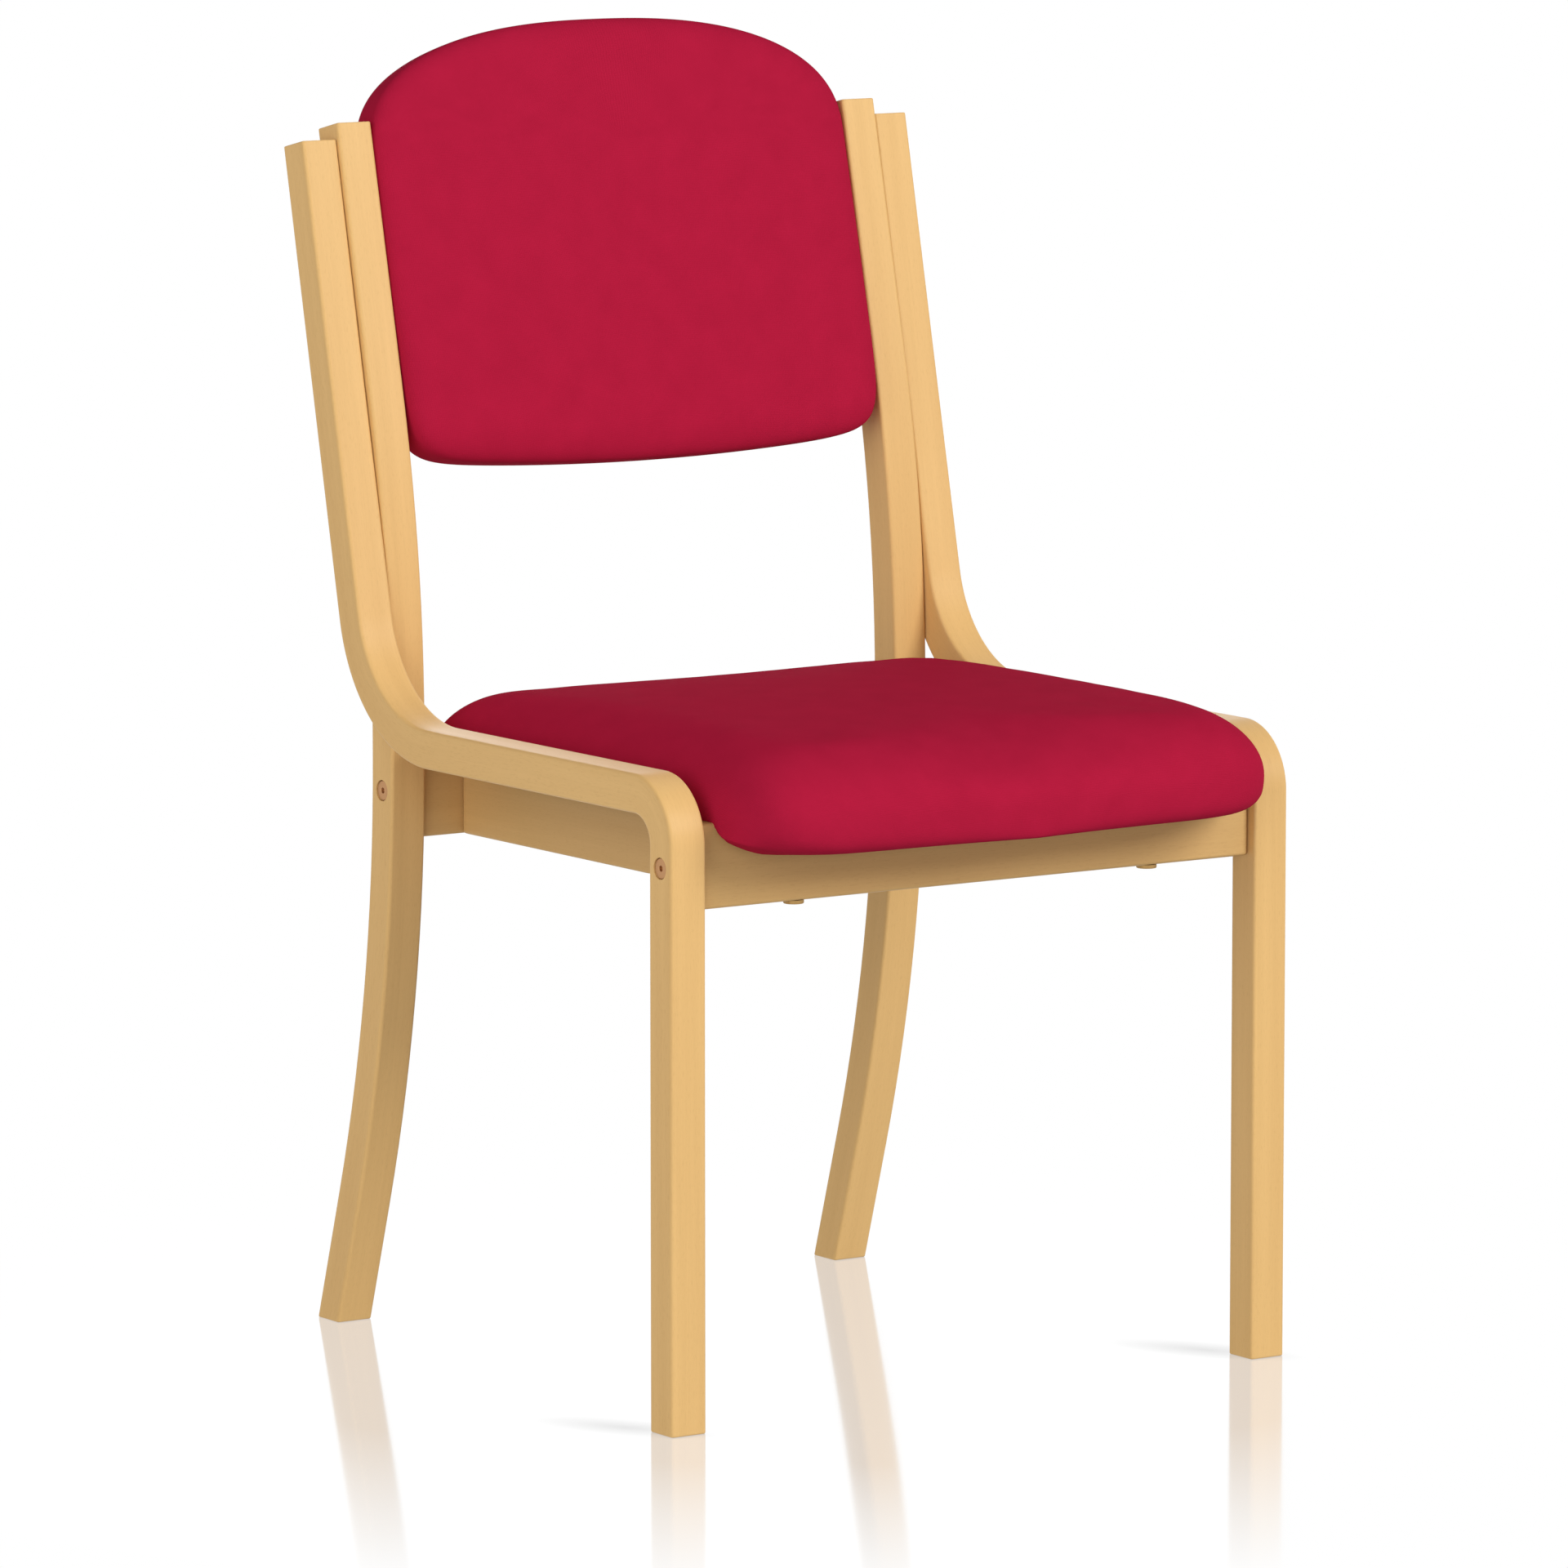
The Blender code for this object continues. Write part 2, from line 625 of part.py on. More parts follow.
def pan_strip(name, spare):
    """Moulded plywood strip: flat under the cushion, bent down in front of the rail."""
    middle_y = PAN_FLAT_FRONT - PAN_BEND_RADIUS
    middle_z = PAN_BOTTOM + PAN_THICKNESS / 2
    corners = [
        Vector((middle_y, PAN_BOTTOM - PAN_LIP - spare)),
        Vector((middle_y, middle_z)),
        Vector((REAR_LEG_Y, middle_z)),
    ]
    path = filleted_path(corners, (PAN_BEND_RADIUS,))
    half = PAN_THICKNESS / 2 + spare
    return bent_strip(name, path, 0.0, FRAME_WIDTH, half, -half)


def seat_window(name, spare, low_z, high_z):
    half = SEAT_HALF_WIDTH - WINDOW_MARGIN_SIDE - spare
    low = (-half, SEAT_LIP_BACK + WINDOW_MARGIN_FRONT + spare, low_z)
    high = (half, SEAT_REAR - WINDOW_MARGIN_REAR - spare, high_z)
    return box(name, low, high)


def build_seat(front_rail, aprons):
    cover = as_part(seat_form("seat_cover", 0.0), TEXTILE)
    boolean(cover, under_seat("seat underside", 0.0))
    lining = as_cutter(seat_form("seat cover inside", FABRIC))
    boolean(lining, under_seat("seat cover inside underside", FABRIC))
    boolean(cover, lining)
    boolean(cover, as_cutter(seat_window("seat window", 0.0, SEAT_BASE - OVERRUN, PAN_BOTTOM)))

    foam = as_part(seat_form("seat_foam", FABRIC + CUSHION_FIT), CUSHION)
    boolean(foam, under_seat("seat foam underside", FABRIC + FIT))
    boolean(foam, as_cutter(pan_strip("seat foam seating", FIT)))

    pan = as_part(pan_strip("seat_pan", 0.0), PLY)
    trim_to(pan, seat_form("seat pan outline", FABRIC + CUSHION_FIT))

    sheet_low = PAN_BOTTOM - FIT - DUST_COVER
    sheet = as_part(seat_window("seat_dust_cover", FIT, sheet_low, PAN_BOTTOM - FIT), DUST)

    up = Vector((0.0, 0.0, 1.0))
    for side, sign in SIDES:
        foot = Vector((sign * SEAT_BOLT_X, FRONT_RAIL_Y, RAIL_BOTTOM))
        start = foot - up * (SEAT_BOLT_HEAD_HEIGHT + FIT)
        shank = PAN_TOP - TEE_FLANGE - RAIL_BOTTOM
        headed_bolt(f"seat_bolt_{side}", start, up, SEAT_BOLT_HEAD_HEIGHT, shank)
        hole = BOLT_RADIUS + HOLE_CLEARANCE
        bore(front_rail, foot, up, RAIL_HEIGHT + OVERRUN, hole)
        bore(cover, foot + up * (RAIL_HEIGHT - OVERRUN), up, OVERRUN * 3, hole)
        tee_nut(side, pan, Vector((foot.x, foot.y, PAN_TOP)), hole)
        seat_screw(side, sign, pan, sheet, aprons[side])


def tee_nut(side, pan, top, hole):
    """Flanged nut let into the top of the pan."""
    down = Vector((0.0, 0.0, -1.0))
    profile = (
        (hole, 0.0),
        (TEE_FLANGE_RADIUS, 0.0),
        (TEE_FLANGE_RADIUS, TEE_FLANGE),
        (TEE_BARREL_RADIUS, TEE_FLANGE),
        (TEE_BARREL_RADIUS, TEE_BARREL),
        (hole, TEE_BARREL),
    )
    as_part(turned(f"tee_nut_{side}", top + down * FIT, down, profile), STEEL)
    flange_hole = TEE_FLANGE_RADIUS + HOLE_CLEARANCE
    barrel_hole = TEE_BARREL_RADIUS + HOLE_CLEARANCE
    seat = TEE_FLANGE + 2 * FIT
    steps = ((flange_hole, seat), (barrel_hole, seat), (barrel_hole, PAN_THICKNESS + OVERRUN))
    stepped_bore(pan, top, down, steps)


def seat_screw(side, sign, pan, sheet, apron):
    """Wood screw driven up from a deep hole in the apron into the rear of the pan."""
    up = Vector((0.0, 0.0, 1.0))
    foot = Vector((sign * APRON_X, SEAT_SCREW_Y, RAIL_BOTTOM))
    ledge = foot + up * SEAT_SCREW_SINK
    tip = PAN_BOTTOM + SEAT_SCREW_BITE
    length = tip - ledge.z
    profile = (
        (0.0, -SEAT_SCREW_HEAD),
        (SEAT_SCREW_HEAD_RADIUS, -SEAT_SCREW_HEAD),
        (SEAT_SCREW_HEAD_RADIUS, 0.0),
        (SEAT_SCREW_RADIUS, 0.0),
        (SEAT_SCREW_RADIUS, length - SEAT_SCREW_RADIUS),
        (0.0, length),
    )
    as_part(turned(f"seat_screw_{side}", ledge - up * FIT, up, profile), STEEL)
    hole = SEAT_SCREW_RADIUS + HOLE_CLEARANCE
    head_hole = SEAT_SCREW_HEAD_RADIUS + HOLE_CLEARANCE
    steps = ((head_hole, SEAT_SCREW_SINK), (hole, SEAT_SCREW_SINK), (hole, RAIL_HEIGHT + OVERRUN))
    stepped_bore(apron, foot, up, steps)
    bore(sheet, foot + up * (RAIL_HEIGHT - OVERRUN), up, OVERRUN * 3, hole)
    bore(pan, foot + up * (PAN_BOTTOM - RAIL_BOTTOM), up, SEAT_SCREW_BITE, hole)


def back_form(name, inset, front, rear, face_power, cells):
    """Pad in the leaning plane, arched along its top: X across, Y rearward, Z up the back."""
    arch = BACK_ARCH - inset
    below = BACK_DEPTH_BELOW - inset
    bm = pad_cage(*cells)
    for vert in bm.verts:
        outline_power = BACK_ARCH_POWER if vert.co.y > 0 else BACK_BOTTOM_POWER
        a, b, c = soften(vert.co, outline_power, face_power)
        bow = BACK_BOTTOM_BOW * a * a * max(0.0, -b)
        up = BACK_WIDEST + bow + b * (arch if b > 0 else below)
        rearward = BACK_MID + c * (rear if c > 0 else front)
        vert.co = (a * (BACK_HALF_WIDTH - inset), rearward, up)
    return mesh_object(name, mirrored_facets(bm), BACK)


def back_pad(name, inset):
    """The soft pad, all faces the inset inside the finished surface."""
    front = BACK_FRONT_RISE - inset
    rear = BACK_REAR_RISE - inset
    return back_form(name, inset, front, rear, BACK_FACE_POWER, (12, 10, 6))


def back_outline(name, margin):
    """Straight-sided block with the pad's outline drawn in by a margin."""
    deep = BACK_FRONT_RISE + BACK_REAR_RISE + REAR_PANEL
    return back_form(name, margin, deep, deep, STRAIGHT_POWER, (14, 14, 1))


def back_slab(name, front, rear):
    """Slab wider and taller than the pad, between two depths behind the uprights' front faces."""
    reach = BACK_DEPTH_BELOW + BACK_ARCH
    low = (-OUTER_X, front, -reach)
    high = (OUTER_X, rear, BACK_WIDEST + reach)
    return box(name, low, high, BACK)


def build_back(legs):
    deep = BACK_FRONT_RISE + BACK_REAR_RISE + REAR_PANEL
    cover = as_part(back_pad("back_cover", 0.0), TEXTILE)
    boolean(cover, as_cutter(back_pad("back cover inside", FABRIC)))
    window = as_cutter(back_outline("back window", BACK_WINDOW_MARGIN))
    boolean(window, as_cutter(back_slab("back window front", -deep, BOARD_FRONT)))
    boolean(cover, window)

    foam = as_part(back_pad("back_foam", FABRIC + CUSHION_FIT), CUSHION)
    boolean(foam, as_cutter(back_slab("back foam seating", BOARD_FRONT - FIT, deep)))

    board = as_part(back_slab("back_board", BOARD_FRONT, BOARD_REAR), PLY)
    trim_to(board, back_pad("back board outline", FABRIC + CUSHION_FIT))

    panel = as_part(back_slab("back_rear_panel", PANEL_FRONT, PANEL_FRONT + REAR_PANEL), TEXTILE)
    trim_to(panel, back_outline("rear panel outline", REAR_PANEL_MARGIN))
    round_edges(panel, REAR_PANEL_ROUND, segments=1)

    for side, sign in SIDES:
        for level, height in zip(("lower", "upper"), BACK_SCREW_HEIGHTS):
            back_screw(f"{side}_{level}", sign, height, legs[side], cover, board)


def back_screw(place, sign, height, leg, cover, board):
    """Countersunk screw through the inner upright into the edge of the back board."""
    inward = Vector((-sign, 0.0, 0.0))
    start = back_point(sign * REAR_OUTER_X, height, BOARD_FRONT + BACK_SCREW_FROM_FRONT)
    length = MEMBER_WIDTH + BACK_SCREW_BITE
    cone = BACK_SCREW_HEAD_RADIUS - BACK_SCREW_RADIUS
    profile = (
        (0.0, 0.0),
        (BACK_SCREW_HEAD_RADIUS, 0.0),
        (BACK_SCREW_RADIUS, cone),
        (BACK_SCREW_RADIUS, length - BACK_SCREW_RADIUS),
        (0.0, length),
    )
    head = start + inward * FIT
    as_part(turned(f"back_screw_{place}", head, inward, profile), STEEL)
    hole = BACK_SCREW_RADIUS + HOLE_CLEARANCE
    wide = BACK_SCREW_HEAD_RADIUS + 2 * HOLE_CLEARANCE
    steps = ((wide, 0.0), (hole, wide - hole), (hole, MEMBER_WIDTH + OVERRUN))
    stepped_bore(leg, start, inward, steps)
    edge = start + inward * MEMBER_WIDTH
    bore(cover, edge, inward, OVERRUN * 4, hole)
    bore(board, edge, inward, BACK_SCREW_BITE + FIT, hole)


def build_frame():
    legs = {}
    aprons = {}
    front_rail = cross_rail("front_rail", FRONT_RAIL_Y, REAR_OUTER_X)
    rear_rail = cross_rail("rear_rail", REAR_RAIL_Y, REAR_INNER_X - FIT)
    front_joint = FRONT_RAIL_Y + RAIL_THICKNESS / 2
    rear_joint = REAR_RAIL_Y - RAIL_THICKNESS / 2
    front_z = RAIL_TOP - FRONT_BOLT_BELOW_TOP
    rear_z = RAIL_TOP - REAR_BOLT_BELOW_TOP
    for side, sign in SIDES:
        frame = side_frame(side, sign)
        leg = rear_leg(side, sign)
        apron = side_apron(side, sign)
        bolted_corner(f"front_{side}", frame, front_rail, sign, OUTER_X, LEG_Y, FRONT_RAIL_Y, front_z)
        bolted_corner(f"rear_{side}", leg, rear_rail, sign, REAR_OUTER_X, REAR_LEG_Y, REAR_RAIL_Y, rear_z)
        apron_joint(f"front_{side}", front_rail, apron, sign, front_joint, 1.0)
        apron_joint(f"rear_{side}", rear_rail, apron, sign, rear_joint, -1.0)
        for level, height in zip(("lower", "upper"), UPRIGHT_DOWEL_HEIGHTS):
            y = (upright_y(height) + outer_upright_y(height)) / 2
            middle = Vector((sign * SIDE_INNER_X, y, height))
            direction = (-sign, 0.0, 0.0)
            name = f"upright_dowel_{side}_{level}"
            join_with_dowel(name, frame, leg, middle, direction, DOWEL_RADIUS, DOWEL_DEPTH)
        legs[side] = leg
        aprons[side] = apron
    return front_rail, legs, aprons


clear_scene()
PARTS = new_collection("visitor_chair")
CUTTERS = new_collection("cutters")
CHAIR = new_empty("visitor_chair", (0.0, -ORIGIN_Y, 0.0))
BACK = new_empty("back_plane", (0.0, BACK_REFERENCE_Y, BACK_REFERENCE_Z), CHAIR, -BACK_LEAN)

# Colour, roughness and metallic of each finish
WOOD = (BEECH, 0.45, 0.0)
PLY = (PLYWOOD, 0.6, 0.0)
TEXTILE = (RED_FABRIC, 0.9, 0.0)
CUSHION = (FOAM, 0.9, 0.0)
DUST = (BLACK_CLOTH, 0.9, 0.0)
BOLT_METAL = (BRONZE, 0.35, 1.0)
STEEL = (ZINC, 0.35, 1.0)

rail, rear_legs, seat_aprons = build_frame()
build_seat(rail, seat_aprons)
build_back(rear_legs)
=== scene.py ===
# %% [markdown]
# # A visitor chair in bent beech and red wool
#
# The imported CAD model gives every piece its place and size. This lesson dresses it: bent sticks with
# a grain that follows their bends, padded seat and back made as cloth, bronze bolts, and the soft
# white studio of the catalogue picture.

import json
import math

import bpy
import numpy as np
from mathutils import Matrix, Vector

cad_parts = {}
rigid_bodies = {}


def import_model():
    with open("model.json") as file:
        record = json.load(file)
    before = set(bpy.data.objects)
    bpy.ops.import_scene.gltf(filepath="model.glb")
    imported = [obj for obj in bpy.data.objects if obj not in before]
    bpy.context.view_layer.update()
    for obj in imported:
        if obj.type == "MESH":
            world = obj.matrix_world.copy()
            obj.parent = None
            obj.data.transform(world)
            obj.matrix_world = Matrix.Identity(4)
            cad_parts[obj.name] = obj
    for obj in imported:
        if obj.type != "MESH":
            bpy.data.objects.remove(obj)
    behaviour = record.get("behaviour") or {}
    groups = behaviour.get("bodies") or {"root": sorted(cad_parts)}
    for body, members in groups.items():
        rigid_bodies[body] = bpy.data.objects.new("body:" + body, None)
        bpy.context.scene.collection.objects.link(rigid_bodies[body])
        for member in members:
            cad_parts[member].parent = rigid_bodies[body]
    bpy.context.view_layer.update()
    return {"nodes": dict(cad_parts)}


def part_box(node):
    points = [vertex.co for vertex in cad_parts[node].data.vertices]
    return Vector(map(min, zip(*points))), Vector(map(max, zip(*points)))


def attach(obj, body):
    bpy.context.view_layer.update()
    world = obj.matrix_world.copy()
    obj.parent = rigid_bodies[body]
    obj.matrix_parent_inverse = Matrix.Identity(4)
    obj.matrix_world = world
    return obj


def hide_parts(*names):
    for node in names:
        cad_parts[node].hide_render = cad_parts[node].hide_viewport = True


for leftover in list(bpy.data.objects):
    bpy.data.objects.remove(leftover, do_unlink=True)
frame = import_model()
nodes = frame["nodes"]

# %% [markdown]
# ## From arrays to a piece
#
# Each new piece is worked out as whole numpy arrays: a grid of points, and the faces that join them.
# One helper puts the arrays into a mesh, turns the faces outwards by the sign of the volume that they
# enclose, and hands the piece to the frame so that it stands in for its CAD nodes.

# %% Grids and volumes
def grid_faces(rows, columns, wrap=False):
    """Four-cornered faces of a rows x columns grid of points; wrap joins the last column to the first."""
    index = np.arange(rows * columns).reshape(rows, columns)
    beside = np.roll(index, -1, axis=1)
    if not wrap:
        index, beside = index[:, :-1], beside[:, :-1]
    corners = (index[:-1], beside[:-1], beside[1:], index[1:])
    return np.stack(corners, axis=-1).reshape(-1, 4)


def enclosed_volume(points, faces):
    """Sum of the signed tetrahedra from the origin to each half of each face."""
    a, b, c, d = (points[faces[:, k]] for k in range(4))
    first = np.einsum("ij,ij->i", a, np.cross(b, c))
    second = np.einsum("ij,ij->i", a, np.cross(c, d))
    return (first.sum() + second.sum()) / 6


print("3 x 4 points make", len(grid_faces(3, 4)), "faces, and in a ring", len(grid_faces(3, 4, wrap=True)))


# %% From arrays to a mesh, and from a mesh to a piece
def make_mesh(name, points, faces):
    """Mesh object from points and faces; a face whose last two corners agree becomes a triangle."""
    if enclosed_volume(points, faces) < 0:
        faces = faces[:, [0, 3, 2, 1]]
        faces = np.where(faces[:, 1:2] == faces[:, 2:3], faces[:, [0, 2, 3, 3]], faces)
    triangle = faces[:, 2] == faces[:, 3]
    polygons = faces[~triangle].tolist() + faces[triangle, :3].tolist()
    mesh = bpy.data.meshes.new(name)
    mesh.from_pydata(points.tolist(), [], polygons)
    mesh.shade_smooth()
    piece = bpy.data.objects.new(name, mesh)
    bpy.context.scene.collection.objects.link(piece)
    return piece


def hand_over(piece, slot, material, *stands_for):
    """Ride the chair's one body, take a finish and replace the CAD nodes that the piece stands for."""
    piece.data.materials.clear()
    piece.data.materials.append(material)
    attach(piece, "root")
    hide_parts(*stands_for)
    print(piece.name, len(piece.data.polygons), "faces for", ", ".join(stands_for))


def read_points(mesh):
    """Coordinates of a mesh's points, one row each."""
    points = np.empty(len(mesh.vertices) * 3)
    mesh.vertices.foreach_get("co", points)
    return points.reshape(-1, 3)


def keep_vectors(piece, name, vectors):
    """Store one vector per point, for a material to read."""
    layer = piece.data.attributes.new(name, "FLOAT_VECTOR", "POINT")
    layer.data.foreach_set("vector", np.ascontiguousarray(vectors, dtype=np.float32).ravel())


# %% [markdown]
# ## The camera
#
# The picture was taken from far away with a long lens, a little above seat height and from the
# chair's left front. The straight edges of the frame fix the lens, the place and the angles; they are
# written from the front face of the front legs, which the CAD box gives.

# %% Place the camera
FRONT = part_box("side_frame_left")[0].y
CAMERA_FROM_FRONT = Vector((-4.0017, -5.6570, 1.3930))
CAMERA_TURN = math.radians(34.103)
CAMERA_DOWN = math.radians(7.852)
FOCAL_PIXELS = 12196.0
IMAGE_PIXELS = 1920

lens = bpy.data.cameras.new("catalogue camera")
lens.sensor_width = 36.0
lens.lens = FOCAL_PIXELS / IMAGE_PIXELS * lens.sensor_width
camera = bpy.data.objects.new("catalogue camera", lens)
bpy.context.scene.collection.objects.link(camera)
level = math.cos(CAMERA_DOWN)
looking = Vector((math.sin(CAMERA_TURN) * level, math.cos(CAMERA_TURN) * level, -math.sin(CAMERA_DOWN)))
rightward = Vector((math.cos(CAMERA_TURN), -math.sin(CAMERA_TURN), 0.0))
facing = Matrix((rightward, rightward.cross(looking), -looking)).transposed().to_4x4()
camera.matrix_world = Matrix.Translation(CAMERA_FROM_FRONT + Vector((0.0, FRONT, 0.0))) @ facing
bpy.context.scene.camera = camera
print("lens", round(lens.lens, 1), "mm, camera at", [round(part, 3) for part in camera.location])

# %% [markdown]
# ## Shader bricks
#
# Node trees get long, so one helper adds a node, fills its inputs with values or links, and gives the
# node back. Effects that several finishes share are node groups, built once from these bricks.

# %% Helpers for node trees
def brick(tree, kind, inputs=(), **settings):
    """Add a shader node; inputs pairs a socket's name or number with a value or another socket."""
    node = tree.nodes.new(f"ShaderNode{kind}")
    for name, value in settings.items():
        setattr(node, name, value)
    for key, value in dict(inputs).items():
        if isinstance(value, bpy.types.NodeSocket):
            tree.links.new(value, node.inputs[key])
        else:
            node.inputs[key].default_value = value
    return node


def open_group(name, inputs, outputs):
    """New node group with named sockets; gives the tree, its input node and its output node."""
    tree = bpy.data.node_groups.new(name, "ShaderNodeTree")
    for label, kind in inputs:
        tree.interface.new_socket(label, in_out="INPUT", socket_type=f"NodeSocket{kind}")
    for label, kind in outputs:
        tree.interface.new_socket(label, in_out="OUTPUT", socket_type=f"NodeSocket{kind}")
    return tree, tree.nodes.new("NodeGroupInput"), tree.nodes.new("NodeGroupOutput")


def new_finish(name):
    """Empty material; gives the material, its tree and its Principled shader."""
    finish = bpy.data.materials.new(name)
    finish.use_nodes = True
    return finish, finish.node_tree, finish.node_tree.nodes["Principled BSDF"]


# %% Helpers for patterns and sums
def stretched_noise(tree, vector, stretch, detail, roughness):
    """Noise on a vector whose three parts are first multiplied by the stretch, in cycles a metre."""
    scaled = brick(tree, "VectorMath", {0: vector, 1: stretch}, operation="MULTIPLY")
    inputs = {"Vector": scaled.outputs[0], "Scale": 1.0, "Detail": detail, "Roughness": roughness}
    return brick(tree, "TexNoise", inputs).outputs["Fac"]


def remap(tree, value, low, high, to_low=0.0, to_high=1.0):
    """Move a value from the range low to high into another range, and stop at its ends."""
    inputs = {"Value": value, "From Min": low, "From Max": high, "To Min": to_low, "To Max": to_high}
    return brick(tree, "MapRange", inputs).outputs["Result"]


def calculate(tree, operation, first, second=0.0):
    """One Math node on one or two values or sockets."""
    return brick(tree, "Math", {0: first, 1: second}, operation=operation).outputs[0]


# %% [markdown]
# ## Beech
#
# Steamed beech under clear satin lacquer is even and pale, with long soft streaks and thousands of
# short brown flecks, the cut ends of the wood's rays. All of them run along the stick. The group takes
# a vector in metres whose X runs along the grain, so a bent stick can hand it a vector that follows
# its bends, and a straight rail simply its own object coordinates. The rails and aprons take the same
# beech darkened by a fixed factor: painted shade for the shadow that the seat casts on them.

# %% Beech grain as a node group
beech_grain, given, result = open_group(
    "beech grain",
    (("Grain", "Vector"), ("Pale", "Color"), ("Deep", "Color"), ("Fleck", "Float")),
    (("Color", "Color"), ("Roughness", "Float"), ("Height", "Float")),
)
grain = given.outputs["Grain"]
streak = stretched_noise(beech_grain, grain, (2.2, 70.0, 70.0), 3.0, 0.55)
fibre = stretched_noise(beech_grain, grain, (14.0, 900.0, 900.0), 2.0, 0.6)
ray = stretched_noise(beech_grain, grain, (190.0, 1500.0, 1500.0), 2.0, 0.5)
fleck = remap(beech_grain, ray, 0.56, 0.70)
fleck = calculate(beech_grain, "MULTIPLY", fleck, given.outputs["Fleck"])
tone = calculate(beech_grain, "ADD", remap(beech_grain, streak, 0.3, 0.7, 0.0, 0.24), fleck)
tone = calculate(beech_grain, "ADD", tone, remap(beech_grain, fibre, 0.3, 0.7, 0.0, 0.09))
colour = brick(
    beech_grain,
    "Mix",
    {0: tone, 6: given.outputs["Pale"], 7: given.outputs["Deep"]},
    data_type="RGBA",
)
height = calculate(beech_grain, "SUBTRACT", fibre, fleck)
beech_grain.links.new(colour.outputs[2], result.inputs["Color"])
beech_grain.links.new(remap(beech_grain, tone, 0.0, 0.8, 0.36, 0.5), result.inputs["Roughness"])
beech_grain.links.new(height, result.inputs["Height"])
print("beech grain group:", len(beech_grain.nodes), "nodes")

# %% Three beech finishes: bent sticks, rails that run across, aprons that run from front to back
BEECH_PALE = (0.760, 0.482, 0.190, 1.0)
BEECH_DEEP = (0.560, 0.318, 0.110, 1.0)
BEECH_FLECK = 0.22
# Factor that darkens the beech of the rails and aprons: painted shade for the shadow under the seat.
RAIL_PAINTED_SHADE = 0.87


def beech_finish(name, grain_from, shade=1.0):
    """Lacquered beech; grain_from builds the nodes that give the vector along the grain."""
    finish, tree, shader = new_finish(name)
    group = tree.nodes.new("ShaderNodeGroup")
    group.node_tree = beech_grain
    tree.links.new(grain_from(tree), group.inputs["Grain"])
    # A shade below 1 darkens both colours of the wood: painted shade.
    group.inputs["Pale"].default_value = [part * shade for part in BEECH_PALE]
    group.inputs["Deep"].default_value = [part * shade for part in BEECH_DEEP]
    group.inputs["Fleck"].default_value = BEECH_FLECK
    bump = brick(tree, "Bump", {"Strength": 0.12, "Distance": 0.0003, "Height": group.outputs["Height"]})
    tree.links.new(group.outputs["Color"], shader.inputs["Base Color"])
    tree.links.new(group.outputs["Roughness"], shader.inputs["Roughness"])
    tree.links.new(bump.outputs[0], shader.inputs["Normal"])
    shader.inputs["Specular IOR Level"].default_value = 0.12
    return finish


def along_stick(tree):
    """The vector that each bent stick stores at its points."""
    return brick(tree, "Attribute", attribute_name="grain").outputs["Vector"]


def along_x(tree):
    """Object coordinates, for timber that runs from side to side."""
    return brick(tree, "TexCoord").outputs["Object"]


def along_y(tree):
    """Object coordinates turned a quarter, for timber that runs from front to back."""
    turn = {"Vector": along_x(tree), "Rotation": (0.0, 0.0, math.radians(90.0))}
    return brick(tree, "Mapping", turn).outputs[0]


beech_bent = beech_finish("lacquered beech, bent sticks", along_stick)
# The rails and aprons get darker beech: painted shade for the shadow under the seat.
beech_across = beech_finish("lacquered beech, rails", along_x, RAIL_PAINTED_SHADE)
beech_lengthwise = beech_finish("lacquered beech, aprons", along_y, RAIL_PAINTED_SHADE)
print("beech finishes:", beech_bent.name, "/", beech_across.name, "/", beech_lengthwise.name)

# %% [markdown]
# ## Bent sticks
#
# Each side of the chair is two bent sticks. The side frame runs from the front foot up, round a tight
# bend, back along the side rail, round a wide bend and up beside the back. The rear leg bows in from
# its splayed foot and leans back beside it. A stick is a rounded rectangle carried along a line of
# straight runs and arcs, which keeps its edges crisp and its bends smooth.

# %% The line of a stick and its section
STICK_WIDTH = 0.029
STICK_DEPTH = 0.028
STICK_EDGE = 0.0024
END_EDGE = 0.0011
FLAT_BESIDE_EDGE = 0.0006


def bent_line(corners, radii, run_step=0.012, turn_step=math.radians(1.2)):
    """Points and directions along straight runs joined by arcs.

    An arc of radius r that leaves direction f towards its inner side g is
    start + r (sin t f + (1 - cos t) g), with direction cos t f + sin t g, for t up to the turn."""
    corners = np.asarray(corners, float)
    points, directions = [], []
    start = corners[0]
    for before, corner, after, radius in zip(corners, corners[1:], corners[2:], radii):
        f = (corner - before) / np.linalg.norm(corner - before)
        out = (after - corner) / np.linalg.norm(after - corner)
        turn = math.acos(float(f @ out))
        g = (out - f * math.cos(turn)) / math.sin(turn)
        bend = corner - f * radius * math.tan(turn / 2)
        run = np.linspace(start, bend, max(3, int(np.linalg.norm(bend - start) / run_step)))[:-1]
        t = np.linspace(0.0, turn, math.ceil(turn / turn_step) + 1)[:, None]
        points += [run, bend + radius * (np.sin(t) * f + (1 - np.cos(t)) * g)]
        directions += [np.broadcast_to(f, run.shape), np.cos(t) * f + np.sin(t) * g]
        start = points[-1][-1]
    run = np.linspace(start, corners[-1], int(np.linalg.norm(corners[-1] - start) / run_step))[1:]
    points.append(run)
    directions.append(np.broadcast_to(out, run.shape))
    return np.concatenate(points), np.concatenate(directions)


